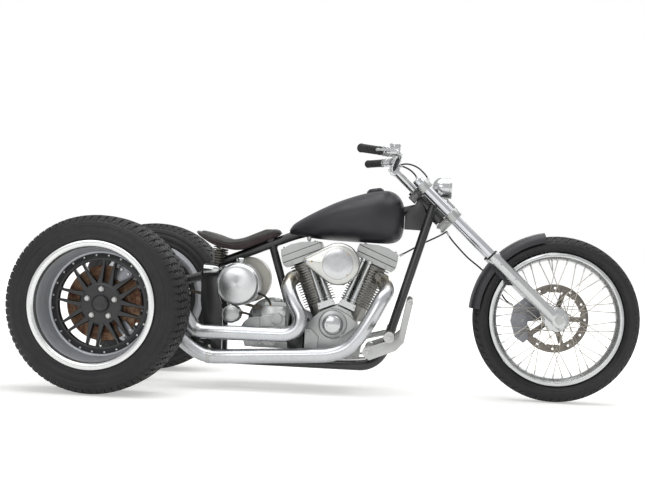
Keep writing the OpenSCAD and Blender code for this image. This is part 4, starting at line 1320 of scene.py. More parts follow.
@dataclass
class Tank:
    """The teardrop fuel tank with its cap and tap."""

    sections: Sequence[Sequence[float]] = (
        (682, 14, 664, 680, 2.0), (700, 44, 658, 704, 2.1), (740, 78, 651, 731, 2.2), (800, 108, 644, 765, 2.3),
        (870, 130, 640, 800, 2.4), (940, 144, 638, 828, 2.4), (1010, 150, 637, 850, 2.4), (1065, 148, 636, 861, 2.4),
        (1110, 136, 637, 860, 2.3), (1142, 114, 646, 842, 2.2), (1162, 78, 668, 812, 2.1), (1170, 34, 706, 770, 2.0),
    )

    def build(self) -> None:
        """Body, cap and tap."""
        Solid().skin(body_rings(self.sections, 4, 64)).piece("tank_shell", TANK_PAINT, CHASSIS, bevel=6, angle=50,
            segments=3,
                                  replaces=("fuel_tank",))
        seat_at = Place(pt(1042, 0, 855), X, Y, Z).facing(Vector((-sin(radians(10)), 0, cos(radians(10)))))
        cap = Solid().lathe(seat_at, [(0, -4), (37, -4), (37, 5), (35.5, 8), (31, 9), (30, 11), (29, 13.5), (26, 15),
            (0, 15.5)], 64)
        cap.piece("tank_cap", TANK_PAINT, CHASSIS, 0.5, replaces=("fuel_cap",))
        tap = Solid().lathe(Place(pt(770, -42, 646), X, -Y, -Z), [(0, -6), (9, -6), (9, 8), (6, 10), (6, 22), (0, 22)],
            20)
        tap.bar(pt(770, -42, 630), pt(770, -66, 630), 5, 14)
        tap.piece("fuel_tap", STEEL, CHASSIS, 0.6)


@dataclass
class Saddle:
    """The sprung solo seat: padded leather with seams and piping on coil springs."""

    sections: Sequence[Sequence[float]] = (
        (283, 60, 648, 659, 2.0), (300, 99, 637, 656, 2.2), (330, 127, 619, 651, 2.5), (370, 137, 599, 641, 2.7),
        (410, 133, 589, 628, 2.7), (450, 117, 584, 622, 2.6), (490, 91, 591, 630, 2.4), (530, 69, 607, 647, 2.3),
        (570, 55, 624, 665, 2.2), (605, 47, 639, 679, 2.1), (632, 35, 651, 679, 2.0), (644, 15, 659, 670, 2.0),
    )
    cap: float = 5.0
    seam_share: float = 0.46

    def pad(self) -> None:
        """The pad: swollen by a short cloth run, then smoothed."""
        padded = [(x, wide - 2, low + 1, high + 4, power + 0.3) for x, wide, low, high, power in self.sections]
        mesh = Solid().skin(body_rings(padded, 3, 48, 5)).mesh("seat_pad")
        made = put_in("seat_pad", mesh)
        self.swell(made)
        mesh = made.data.copy()
        bpy.data.objects.remove(made)
        pad = dress(mesh, "seat_pad", SEAT_LEATHER, CHASSIS, smooth=1, replaces=("seat",))
        pad.data.materials.append(SEAT_SIDE.material())
        for face in pad.data.polygons:
            face.material_index = int(face.center.z < self.seam(face.center.x))

    def swell(self, made: bpy.types.Object) -> None:
        """Remesh, blow up with cloth, cap the move and apply.

        Args:
            made: The pad's object; its mesh is replaced.
        """
        grid = made.modifiers.new("Grid", "REMESH")
        grid.mode, grid.voxel_size = "VOXEL", 0.005
        start = baked(made)
        made.modifiers.clear()
        made.data = start
        rest = [v.co.copy() for v in start.vertices]
        cloth = made.modifiers.new("Swell", "CLOTH")
        cloth.settings.use_pressure = True
        cloth.settings.uniform_pressure_force = 4
        cloth.settings.effector_weights.gravity = 0
        scene = bpy.context.scene
        for step in range(1, 21):
            scene.frame_set(step)
        end = baked(made)
        made.modifiers.clear()
        scene.frame_set(1)
        limit = self.cap * MM
        for v, r in zip(end.vertices, rest):
            move = v.co - r
            if move.length > limit:
                move = move.normalized() * limit
            v.co = r + move
        made.data = end

    def seam(self, x: float) -> float:
        """Height of the seam between top and side at a place along the seat."""
        spots = [pt(s[0], 0, s[2] + self.seam_share * (s[3] - s[2])) for s in self.sections]
        for p, q in zip(spots, spots[1:]):
            if x <= q.x:
                return p.z + (q.z - p.z) * max(0.0, (x - p.x) / (q.x - p.x))
        return spots[-1].z

    def seams(self) -> None:
        """Piping round the edge and stitches along it."""
        edge: list[Vector] = []
        for s in self.sections[1:-1]:
            edge.append(pt(s[0], s[1] * 0.985 + 1.5, s[2] + self.seam_share * (s[3] - s[2])))
        tip = [pt(646, 0, 661)]
        tail = [pt(281, 0, 654)]
        mirror = [Vector((p.x, -p.y, p.z)) for p in edge]
        line = soft_path(tail + edge + tip + list(reversed(mirror)) + tail, 8)
        Solid().tube(line, 2.6, 10).piece("seat_piping", PIPING, CHASSIS)
        stitch = Solid().tube([Vector((-0.0016, 0, 0)), Vector((0, 0, 0.0005)), Vector((0.0016, 0, 0))], [0.35, 0.5,
            0.35], 6)
        spots = []
        for a, b in zip(line, line[1:]):
            way = b - a
            steps = max(1, int(way.length / 0.0045))
            for k in range(steps):
                p = a + way * (k + 0.5) / steps
                out = Vector((0, copysign(1, p.y), 0)) * 0.3 + Z
                spots.append(Spot(p + Z * 0.0048 - Y * copysign(0.004, p.y), out.normalized(), way.normalized()))
        REPEAT.run("seat_stitches", stitch, spots, PIPING, CHASSIS)

    def springs(self) -> None:
        """Two coil springs made by a spiral in Geometry Nodes, and their plates."""
        tree = bpy.data.node_groups.new("Coil spring", "GeometryNodeTree")
        sizes = {"Turns": 5.5, "Radius": 0.0195, "Height": 0.060, "Wire": 0.0032}
        keys = {}
        tree.interface.new_socket("Geometry", in_out="INPUT", socket_type="NodeSocketGeometry")
        for name in sizes:
            keys[name] = tree.interface.new_socket(name, in_out="INPUT", socket_type="NodeSocketFloat").identifier
        where = tree.interface.new_socket("Foot", in_out="INPUT", socket_type="NodeSocketVector").identifier
        paint = tree.interface.new_socket("Finish", in_out="INPUT", socket_type="NodeSocketMaterial").identifier
        tree.interface.new_socket("Spring", in_out="OUTPUT", socket_type="NodeSocketGeometry")
        start = add_node(tree, "NodeGroupInput", {}).outputs
        coil = add_node(tree, "GeometryNodeCurveSpiral", {
            "Resolution": 28, "Rotations": start["Turns"], "Start Radius": start["Radius"],
            "End Radius": start["Radius"], "Height": start["Height"],
        })
        ring = add_node(tree, "GeometryNodeCurvePrimitiveCircle", {"Resolution": 12, "Radius": start["Wire"]})
        wire = add_node(tree, "GeometryNodeCurveToMesh", {
            "Curve": coil.outputs[0], "Profile Curve": ring.outputs[0], "Fill Caps": True,
        })
        move = add_node(tree, "GeometryNodeTransform", {"Geometry": wire.outputs[0], "Translation": start["Foot"]})
        finish_nodes(tree, move, start["Finish"])
        for hand, y in (("right", -64), ("left", 64)):
            holder = put_in("holder", bpy.data.meshes.new("holder"))
            mod = holder.modifiers.new("Spring", "NODES")
            mod.node_group = tree
            for name, value in sizes.items():
                mod[keys[name]] = value
            mod[where] = near(pt(385, y, 523.5))
            mod[paint] = SPRING.material()
            mesh = baked(holder)
            bpy.data.objects.remove(holder)
            dress(mesh, f"seat_spring_{hand}", SPRING, CHASSIS, replaces=("seat_springs",), angle=60)
        ends = Solid()
        for y in (-64, 64):
            foot = GROUND.moved(385, y, 519)
            ends.lathe(foot, [(0, 0), (22, 0), (22, 3), (9, 4), (9, 12), (0, 12)], 28)
            ends.lathe(foot, [(0, 66), (9, 66), (9, 70), (22, 71.5), (22, 75), (0, 75)], 28)
        ends.bar(pt(385, -64, 592), pt(385, 64, 592), 5)
        ends.piece("spring_seats", FRAME_PAINT, CHASSIS, 0.6)

    def pan(self) -> None:
        """The strut from the seat's nose to the frame, with its pivot bolt."""
        solid = Solid().bar(pt(600, -20, 640), pt(600, 20, 640), 7, 16)
        for y in (-16, 11):
            solid.plate([(586, 640), (592, 650), (610, 650), (616, 640), (612, 622), (600, 616), (588, 622)], y, y + 5)
        solid.piece("seat_pivot", FRAME_PAINT, CHASSIS, 1)

    def build(self) -> None:
        """Pad, piping, springs and pivot."""
        self.pad()
        self.seams()
        self.springs()
        self.pan()


@dataclass
class Drums:
    """Oil tank, oil filter, electrics drum and tail lamps."""

    oil: Pair = (484, 437)

    def build(self) -> None:
        """Turned drums with their lids, fittings and hoses."""
        at = near_side(self.oil[0], self.oil[1])
        turned = Metal("oil_drum_turned", shade("c9cbcc"), 0.3, spread=0.04, grain=1300, depth=0.03, stain=0.08,
            swirl=0.7,
                       rings=(near(at.origin), (1, 0, 1)))
        body = [(0, -12), (84, -12), (88, -9), (89, -5), (89, 125), (88, 130), (84, 134)]
        dome = [(84 * cos(radians(t)), 134 + 17.5 * sin(radians(t))) for t in range(12, 84, 9)]
        Solid().lathe(at, body + dome + [(0, 151.6)], 96).piece(
            "oil_drum", turned, CHASSIS, 0.8, replaces=("oil_tank",), slot="brushed_alloy")
        lid = Solid().lathe(GROUND.moved(487, -92, 518), [(0, -6), (15, -6), (15, 14), (20, 15), (20, 26), (17, 30),
            (0, 31)], 40)
        lid.piece("oil_lid", POLISHED, CHASSIS, 0.6)
        can_at = near_side(463, 311)
        can = Metal("filter_can", shade("b0b1b1"), 0.3, grain=1000, depth=0.03, rings=(near(can_at.origin), (1, 0, 1)))
        outline = [(0, 40), (25, 40), (25, 70), (38, 72), (38, 144), (36.6, 149), (33, 152), (26, 154.5), (18, 155.5),
            (0, 156)]
        Solid().lathe(can_at, outline, 72).piece("oil_can", can, CHASSIS, 0.5, replaces=("oil_filter",),
            slot="brushed_alloy")
        box_at = Place(pt(505, 0, 455), X, -Z, Y)
        drum = [(0, 18), (95, 18), (98, 20), (99, 23), (99, 87), (98, 90), (95, 92), (88, 92), (86, 90), (0, 90)]
        Solid().lathe(box_at, drum, 96).piece("electrics_can", CREAM_PAINT, CHASSIS, 0.6,
                                              replaces=("electrics_drum",))
        fasten("drum_screws", ring_spots(box_at.moved(0, 0, 90), 78, 6, 0, 3.5))
        strap = Solid()
        for y in (-38, -100):
            place = at.moved(0, 0, -y)
            strap.lathe(place, [(89.2, -8), (91, -8), (91, 8), (89.2, 8)], 96, loop=True)
        strap.piece("oil_straps", POLISHED, CHASSIS, 0.4)
        self.fittings()
        self.lamps()

    def fittings(self) -> None:
        """Brass elbows and the hoses between drum, can and gearbox."""
        runs = [
            [(560, -60, 402), (590, -66, 392), (612, -70, 372), (622, -66, 350)],
            [(500, -70, 316), (530, -74, 310), (548, -74, 296), (556, -72, 280)],
            [(440, -60, 362), (420, -66, 352), (418, -70, 336), (430, -72, 326)],
        ]
        hose, ends = Solid(), []
        for run in runs:
            line = soft_path([pt(*p) for p in run], 8)
            hose.tube(line, 5, 14)
            for a, b in ((line[0], line[1]), (line[-1], line[-2])):
                ends.append(Spot(a - (b - a).normalized() * 0.003, (b - a).normalized(), Y, 6.5))
        hose.piece("oil_hoses", CABLE_BLACK, CHASSIS)
        REPEAT.run("hose_nuts", nut_head(), ends, BRASS, CHASSIS)

    def lamps(self) -> None:
        """Bullet lamps with red glass to the rear."""
        shell, glass, stalks = Solid(), Solid(), Solid()
        for y in (-122, 122):
            at = Place(pt(338, y, 496), Z, Y, X).facing(X)
            nose = [(20 * cos(radians(t)), 34 + 34 * sin(radians(t))) for t in range(0, 84, 9)]
            shell.lathe(at, [(17, 2), (20, 0), (20.3, 3)] + nose + [(0, 68)] , 40)
            glass.lathe(at, [(0, 0.4), (8, 0.7), (14, 1.6), (17.4, 3), (17.4, 6), (0, 6)], 40)
            stalks.bar(pt(358, copysign(85, y), 492), pt(358, copysign(108, y), 492), 6, 16)
        shell.piece("tail_lamp_shells", POLISHED, CHASSIS, 0.4, replaces=("tail_lamps",))
        glass.piece("tail_lamp_glass", RED_GLASS, CHASSIS)
        stalks.piece("tail_lamp_stalks", STEEL, CHASSIS)


# --- engine


@dataclass
class Engine:
    """The V-twin with its covers, gearbox and primary drive."""

    cleaner: Pair = (907, 541)
    cleaner_r: float = 88
    tip: Pair = (782, 549)
    tip_r: float = 21

    def pear(self, grow: float) -> list[Pair]:
        """Outline of the air cleaner, grown by some millimetres."""
        return belt((*self.cleaner, self.cleaner_r + grow), (*self.tip, self.tip_r + grow), 56, 16)

    def air_cleaner(self) -> None:
        """Cover with a rolled edge and a raised bare disc, on its carburettor."""
        levels = [(-6, -112), (-6, -118), (0, -118), (0, -168), (-1.2, -173), (-4, -177), (-8, -180), (-14, -182.5),
            (-22, -184)]
        cover = Solid().skin([[pt(a, y, b) for a, b in self.pear(g)] for g, y in levels])
        disc_at = near_side(905, 541)
        disc = Solid().lathe(disc_at, [(0, 180), (64, 180), (64, 185), (62.5, 187), (56, 188.4), (30, 189), (0, 189)],
            72)
        cover.piece("cleaner_cover", Metal("cleaner_alloy", shade("c6c6c3"), 0.3, spread=0.1, grain=600, depth=0.02,
            stain=0.25),
                    CHASSIS, 0.6, replaces=("air_cleaner",), slot="polished_alloy")
        disc.piece("cleaner_disc", POLISHED, CHASSIS)
        spots = [Spot(pt(x, -184, z), -Y, X, 4.2) for x, z in ((797, 548), (948, 583), (946, 497))]
        fasten("cleaner_screws", spots, CHASSIS, BRASS)
        carb = Solid().lathe(near_side(905, 512), [(0, 20), (23, 20), (23, 52), (31, 52), (31, 86), (23, 86), (23,
            112), (0, 112)], 40)
        carb.plate([(880, 452), (930, 452), (934, 486), (876, 486)], -88, -40)
        carb.piece("carburettor", CAST, CHASSIS, 1.2)

    def barrels(self) -> None:
        """Cylinders, heads, rocker boxes, pushrod tubes and plugs."""
        soften("cylinders", FINS, CHASSIS, 0.7, 1)
        box, joint, tubes, dark, plugs = Solid(), Solid(), Solid(), Solid(), Solid()
        screws: list[Spot] = []
        lead = Solid()
        for rear in (False, True):
            place = bank(rear)
            box.plate([(-72, 386), (80, 386), (88, 400), (89, 408), (-89, 408), (-88, 400)], -75, 75, place)
            joint.plate([(-87, 407.5), (87.5, 407.5), (87.5, 410.5), (-87, 410.5)], -73.5, 73.5, place)
            box.plate([(-90.5, 410), (89.5, 410), (85, 436), (-91.5, 436)], -76, 76, place)
            joint.plate([(-90, 435.5), (84, 435.5), (83.5, 438), (-90, 438)], -74.5, 74.5, place)
            box.plate([(-92, 437.5), (84.8, 437.5), (76, 466), (28, 473), (-18, 467), (-92, 441)], -76, 76, place)
            for a, b in ((-80, 397), (76, 399), (-60, 397), (50, 397)):
                screws.append(Spot(place.p(a, -75, b), -Y, X, 4))
            for a, b, c in ((-70, -60, 448), (62, -60, 468), (-70, 60, 448), (62, 60, 468)):
                screws.append(Spot(place.p(a, b, c), place.z, place.x, 4.6))
            for foot, top in ((-14, -20), (-46, -48)):
                a, b = place.p(foot, -90, 186), place.p(top, -88, 392)
                way = (b - a).normalized()
                span = (b - a).length / MM
                at = Place(a, X, Y, Z).facing(way)
                tubes.lathe(at, [(0, 0), (14, 0), (14, 10), (11, 12), (11, 20), (13, 22), (13, 30), (9.6, 32), (9.6,
                    span * 0.55),
                                 (8.2, span * 0.56), (8.2, span - 14), (11, span - 12), (11, span), (0, span)], 28)
                dark.lathe(at.moved(0, 0, 20.2), [(0, 0), (12.4, 0), (12.4, 1.6), (0, 1.6)], 24)
            block = [(-66, 172), (10, 172), (6, 198), (-60, 198)]
            tubes.plate(block, -104, -84, place)
            for a in (-60, 4):
                screws.append(Spot(place.p(a, -104, 186), -Y, X, 4))
            plug = Place(place.p(34, 66, 352), X, Z, Y)
            plugs.lathe(plug, [(0, 0), (11, 0), (11, 8), (7, 9), (7, 24), (5, 26), (0, 26)], 6)
            start = plug.p(0, 0, 22)
            lead.tube(soft_path([start, plug.p(0, 0, 44), pt(start.x / MM - GROUND.origin.x / MM, 116, 480),
                                 pt(860 if rear else 900, 96, 560), pt(880, 40, 600)], 8), 3.6, 12)
        box.piece("rocker_covers", CAST, CHASSIS, 4.5, segments=3, replaces=("rocker_boxes",))
        joint.piece("rocker_gaskets", GASKET, CHASSIS)
        tubes.piece("pushrod_covers", POLISHED, CHASSIS, 0.6, replaces=("pushrod_tubes",))
        dark.piece("pushrod_seals", GASKET, CHASSIS)
        plugs.piece("spark_plugs", STEEL, CHASSIS, 0.4)
        lead.piece("plug_leads", CABLE_BLACK, CHASSIS)
        fasten("rocker_screws", screws)

    def covers(self) -> None:
        """Crankcase, cam cover, gearbox and primary case with their screws."""
        soften("crankcase", CAST, CHASSIS, 5, 3)
        cam = Solid().lathe(near_side(892, 288), [(0, 84), (61, 84), (61, 106), (59, 110), (55, 112), (0, 112)], 72)
        cam.plate([(834, 262), (872, 230), (930, 236), (988, 280), (993, 297), (955, 330), (908, 353), (880, 354),
            (834, 316)], -108, -84)
        cam.plate([(772, 140), (826, 140), (832, 232), (800, 262), (772, 262)], -93, -84)
        cam.plate([(950, 140), (994, 140), (1004, 206), (962, 222)], -93, -84)
        cam.piece("cam_plate", CAST, CHASSIS, 2.5, segments=3, replaces=("cam_cover",))
        at = near_side(891, 287)
        cone = Solid().lathe(at, [(0, 110), (45, 110), (43.5, 114), (40, 128), (38.4, 133), (34.6, 136), (33.8, 138.5),
            (31, 140), (0, 140.6)], 64)
        cone.piece("cam_cone", POLISHED, CHASSIS, 0.4)
        marks = [Spot(pt(891 + r * cos(radians(a)), -140.4, 287 + r * sin(radians(a))), -Y, X, 2.6)
                 for r, a in ((24, 8), (24, 188))]
        edge = [Spot(pt(x, -108, z), -Y, X, 4) for x, z in ((980, 290), (893, 349), (876, 238), (928, 242))]
        low = [Spot(pt(x, -85, z), -Y, X, 4.6) for x, z in ((984, 276), (880, 150), (948, 346))]
        low += [Spot(pt(x, -93, z), -Y, X, 5) for x, z in ((784, 152), (786, 246), (816, 152), (984, 152), (986, 198))]
        soften("gearbox", CAST, CHASSIS, 4, 3)
        top = Solid().plate([(592, 349), (690, 349), (690, 362), (684, 368), (600, 368), (592, 362)], -70, 70)
        top.plate([(628, 368), (664, 368), (660, 380), (634, 380)], -30, 10)
        top.plate([(580, 262), (690, 262), (690, 306), (676, 312), (592, 312), (580, 304)], -96, -84)
        top.plate([(520, 176), (640, 176), (652, 188), (652, 204), (512, 204)], -92, -84)
        top.piece("gearbox_covers", CAST, CHASSIS, 3, segments=3)
        low += [Spot(pt(x, -96, z), -Y, X, 4.6) for x, z in ((594, 292), (676, 292), (636, 272))]
        low += [Spot(pt(x, -92, 190), -Y, X, 3.6) for x in (530, 556, 582, 608, 634)]
        low += [Spot(pt(x, y, 368), Z, X, 4.2) for x in (600, 684) for y in (-60, 0, 60)]
        soften("primary_case", POLISHED, CHASSIS, 7, 4)
        for mid, r, count, y in (((602, 275), 94, 9, 176), ((903, 190), 74, 7, 176), ((602, 275), 60, 5, 200)):
            low += ring_spots(Place(pt(mid[0], y, mid[1]), X, -Z, Y), r, count, 0, 4.2, 30)
        fasten("case_screws", low + edge + marks)
        strut = Solid().bar(pt(1010, -64, 232), pt(1118, -84, 268), 8, 16)
        strut.plate([(1004, 222), (1112, 250), (1122, 262), (1118, 276), (1004, 246)], -62, -56)
        strut.piece("engine_stay", CAST, CHASSIS, 1.5)
        link = Solid().bar(pt(712, -88, 300), pt(790, -88, 300), 7, 16)
        link.piece("oil_link", CABLE_BLACK, CHASSIS)

    def build(self) -> None:
        """All of the engine's pieces."""
        self.barrels()
        self.air_cleaner()
        self.covers()


@dataclass
class Exhaust:
    """Two pipes that curve down and back to open tips."""

    radius: float = 30.3
    wall: float = 2.4
    open_steps: int = 14
    y: float = 192

    def routes(self) -> dict[str, list[Triple]]:
        """The pipes' middle lines."""
        y = self.y
        return {
            "exhaust_rear": [(722, -64, 480), (704, -96, 462), (702, -140, 430), (726, -170, 374), (757, -y + 6, 318),
                             (750, -y, 268), (710, -y, 242), (640, -y, 238), (500, -y, 237), (390, -y, 236), (345, -y,
                                 238),
                             (318, -y - 1, 252), (296, -y - 5, 282), (268, -y - 10, 322), (232, -y - 16, 372), (200,
                                 -y - 22, 418)],
            "exhaust_front": [(1074, -64, 490), (1098, -96, 470), (1111, -140, 438), (1090, -172, 398), (1054, -y + 6,
                326),
                              (1008, -y, 248), (960, -y, 196), (890, -y, 168), (800, -y, 159), (634, -y, 149),
                              (440, -y, 137), (392, -y, 137), (350, -y - 1, 148), (308, -y - 3, 172), (268, -y - 7,
                                  206),
                              (232, -y - 12, 250), (200, -y - 18, 296)],
        }

    def build(self) -> None:
        """Hollow pipes, flanges, clamps and heat colour."""
        heads = tuple(near(pt(*route[1])) for route in self.routes().values())
        pipe = Heated("pipe_steel", shade("c3c5c8"), 0.27, spread=0.1, grain=500, depth=0.015, stain=0.3, patch=9,
                      spots=heads, reach=0.09, straw=shade("b3a78f"))
        clamps, bolts = Solid(), []
        for node, route in self.routes().items():
            line = soft_path([pt(*p) for p in route], 9)
            side = Vector((0.05, 0.99, 0.1))
            outer, bore = (sweep(line, [r] * len(line), 40, side) for r in (self.radius, self.radius - self.wall))
            Solid().skin(outer + bore[: -self.open_steps - 1 : -1]).piece(f"{node}_pipe", pipe, CHASSIS, angle=60,
                replaces=(node,))
            for index, wide in ((len(line) * 9 // 13, 16), (6, 10)):
                at, way = line[index], (line[index + 1] - line[index - 1]).normalized()
                place = Place(at, X, Y, Z).facing(way)
                r = self.radius
                clamps.lathe(place, [(r + 0.1, -wide / 2), (r + 1.8, -wide / 2), (r + 1.8, wide / 2), (r + 0.1,
                    wide / 2)], 48, loop=True)
                if index > 6:
                    clamps.bar(at + Z * (r + 2) * MM - way * 0.004, at + Z * (r + 12) * MM, 4, 12)
                    bolts.append(Spot(at + Z * (r + 10) * MM, -Y, X, 4))
        clamps.piece("pipe_clamps", STEEL, CHASSIS, 0.4)
        REPEAT.run("clamp_bolts", nut_head(), bolts, STEEL, CHASSIS)
        bracket = Solid().plate([(300, 128), (336, 128), (340, 250), (322, 262), (304, 250)], -166, -160)
        bracket.bar(pt(320, -160, 200), pt(360, -84, 200), 8, 16)
        bracket.piece("pipe_bracket", FRAME_PAINT, CHASSIS, 1)


@dataclass
class Controls:
    """Forward foot controls, pegs and the clutch and gear rods."""

    def build(self) -> None:
        """Pedals, pivots, pads and rubber rings."""
        metal = Metal("pedal_alloy", shade("b9bab9"), 0.36, spread=0.1, grain=1200, depth=0.04, stain=0.3)
        soften("foot_controls", metal, CHASSIS, 2.6, 3, slot="brushed_alloy")
        rubber, spots = Solid(), []
        for side in (-1, 1):
            end = Place(pt(1132, side * 232, 260), X, Z * -side, Y * side)
            rubber.lathe(end, [(22.02, 96), (22.06, 98), (22.06, 101), (22.02, 103)], 40, loop=True)
            for k in range(7):
                h = 8 + k * 12
                rubber.lathe(end, [(21.8, h), (22.9, h + 1), (22.9, h + 6), (21.8, h + 7)], 40, loop=True)
            spots += [Spot(pt(1132, side * 336, 260), Y * side, X, 7),
                      Spot(pt(1042, side * 192, 184), Y * side, X, 9), Spot(pt(1209, side * 252, 398), Y * side, X, 6)]
        rubber.piece("peg_rings", BLACK_RUBBER, CHASSIS)
        REPEAT.run("pedal_bolts", head(Head.CAP, 16), spots, STEEL, CHASSIS)
        rods = Solid()
        for side, back in ((-1, 700), (1, 640)):
            line = [pt(1036, side * 150, 160), pt(1000, side * 148, 150), pt(back, side * 140, 136)]
            rods.tube(soft_path(line, 6), 5, 14)
            rods.bar(pt(860, side * 144.5, 143), pt(780, side * 142, 140), 8, 16)
        rods.piece("control_rods", STEEL, CHASSIS)


# --- front end


@dataclass
class Fork:
    """The raked fork with its clamps, fender, caliper and headlight."""

    half: float = 105
    lead: float = -6
    stem: float = -51

    def legs(self) -> None:
        """Chrome tubes, machined lower legs, seals, caps and screws."""
        repaint(CHROME, "fork_tubes")
        soften("fork_lowers", LOWER, FRONT_END, 2, 3, slot="fork_chrome")
        for node in ("lower_clamp", "upper_clamp"):
            soften(node, CAST, FRONT_END, 3, 3)
        repaint(STEEL, "front_axle")
        caps, seals, spots = Solid(), Solid(), []
        for side in (-1, 1):
            leg = FORK.moved(self.lead, side * self.half, 0)
            caps.lathe(leg.moved(0, 0, 818), [(21, 0), (22.5, 1), (22.5, 8), (20.6, 11.2), (14, 11.9), (0, 12)], 40)
            seals.lathe(leg.moved(0, 0, 380), [(20.6, 0), (26.5, 0), (26, 5), (22, 8), (20.6, 8.2)], 40, loop=True)
            spots.append(Spot(leg.p(0, 0, -32), -leg.z, leg.x, 8))
            spots.append(Spot(FORK.p(30, side * self.half, -4), FORK.x, Y, 5))
            for s in (602, 622, 776, 792):
                spots.append(Spot(FORK.p(-36, side * (self.half - 22), s), -FORK.x, Y, 5))
            for s in (245, 330):
                spots.append(Spot(leg.p(0, side * 25, s), Y * side, FORK.z, 4.5))
        caps.piece("fork_caps", POLISHED, FRONT_END, 0.4)
        seals.piece("fork_seals", BLACK_RUBBER, FRONT_END)
        top = Solid().lathe(FORK.moved(self.stem, 0, 802), [(0, 0), (20, 0), (20, 9), (0, 9)], 6)
        top.piece("stem_nut", STEEL, FRONT_END, 0.8)
        for s in (598, 622):
            spots.append(Spot(FORK.p(self.stem - 31, 0, s), -FORK.x, Y, 4.5))
        fasten("clamp_screws", spots, FRONT_END)

    def fender(self) -> None:
        """Crowned fender with a rolled edge on two stays."""
        section = [(368, 0), (367.6, 12), (366.4, 24), (364, 36), (359.5, 48), (353, 57), (345, 63), (336, 65.5), (329,
            66)]
        edge = [(326.5, 66.6), (325, 65), (326, 63), (328.5, 62.6)]
        back = [(r - 3.2 * (1 - v / 90), v * 0.952) for r, v in reversed(section[:-1])]
        half = section + edge + back
        loop = half + [(r, -v) for r, v in reversed(half) if v > 0.01]
        rings = []
        steps = 60
        for k in range(steps + 1):
            a = radians(100 + 75 * k / steps)
            c, s = cos(a), sin(a)
            rings.append([FRONT_AXLE + Vector((r * c, v, r * s)) * MM for r, v in loop])
        solid = Solid().skin(rings)
        solid.piece("fender_shell", FENDER_PAINT, FRONT_END, bevel=0.6, angle=50, replaces=("front_fender",))
        stays, bolts = Solid(), []
        for side in (-1, 1):
            y0, y1 = (66, 71) if side > 0 else (-71, -66)
            stays.plate([(1562, 598), (1662, 516), (1658, 494), (1648, 485), (1612, 484), (1572, 524), (1530, 566)],
                y0, y1)
            for s in (245, 330):
                leg = FORK.moved(self.lead, 0, s)
                stays.bar(leg.p(0, side * 71, 0), leg.p(0, side * 80.5, 0), 8, 20)
                bolts.append(Spot(leg.p(0, side * 66, 0), -Y * side, X, 5))
        stays.piece("fender_stays", FENDER_PAINT, FRONT_END, 1.0)
        REPEAT.run("fender_bolts", head(Head.DOME), bolts, STEEL, FRONT_END)

    def brake(self) -> None:
        """Front caliper with its pins, and the hose with its end fittings."""
        soften("front_caliper", CALIPER, FRONT_END, 3.5, 3)
        spots = [Spot(pt(x, 79, z), Y, X, s) for x, z, s in
                 ((1672, 390, 6), (1706, 418, 6), (1676, 284, 6), (1700, 258, 6), (1756, 366, 7), (1690, 336, 9))]
        spots += [Spot(pt(x, 39.5, z), -Y, X, s) for x, z, s in ((1672, 390, 5), (1676, 284, 5), (1690, 336, 6),
            (1704, 410, 5))]
        fasten("front_caliper_bolts", spots, FRONT_END)
        hose = [(1352, 36, 700), (1372, 44, 672), (1405, 52, 636), (1448, 58, 594), (1490, 66, 562), (1522, 75, 536),
                (1560, 76, 496), (1596, 76, 450), (1620, 75, 418), (1650, 70, 398)]
        line = soft_path([pt(*p) for p in hose], 8)
        Solid().tube(line, 3.5, 14).piece("brake_line", CABLE_BLACK, FRONT_END, replaces=("brake_hose",))
        ends = Solid()
        for a, b in ((line[0], line[3]), (line[-1], line[-4])):
            way = (b - a).normalized()
            ends.tube([a - way * 0.002, a + way * 0.008, a + way * 0.009, a + way * 0.022], [5.5, 5.5, 4.4, 4.4], 14)
        ends.piece("brake_line_ends", STEEL, FRONT_END)

    def lamp(self) -> None:
        """Bullet headlight with bezel and glass, on its bracket."""
        at = Place(pt(1365, 0, 885), Z, Y, X).facing(X)
        shell = [(40, 0.2), (45.5, 0.2), (46, -1), (46, -9), (45, -10), (45, -36)]
        shell += [(45.2 * cos(radians(t)), -40 - 42 * sin(radians(t))) for t in range(4, 88, 7)]
        Solid().lathe(at, [(0, -7), (35, -4), (40, 0.2)] + shell[1:] + [(0, -82)], 64).piece(
            "lamp_shell", POLISHED, FRONT_END, 0.4, replaces=("headlight",))
        Solid().lathe(at, [(0, 0.4), (14, 0.1), (28, -1.2), (39.4, -3), (39.4, -4.4), (28, -2.6), (14, -1.2), (0, -1)],
            64).piece(
            "lamp_glass", CLEAR, FRONT_END)
        arm = Solid().bar(pt(1345, -16, 845), pt(1345, 16, 845), 11, 24)
        arm.bar(pt(1345, 0, 838), pt(1345, 0, 852), 8, 20)
        arm.skin([[FORK.p(a, y, b) for a, b in ((-4, 632), (32, 632), (32, 678), (24, 678), (-4, 646))] for y in (-13,
            13)])
        arm.piece("lamp_bracket", CAST, FRONT_END, 1.5)

    def build(self) -> None:
        """All of the fork's pieces."""
        self.legs()
        self.fender()
        self.brake()
        self.lamp()


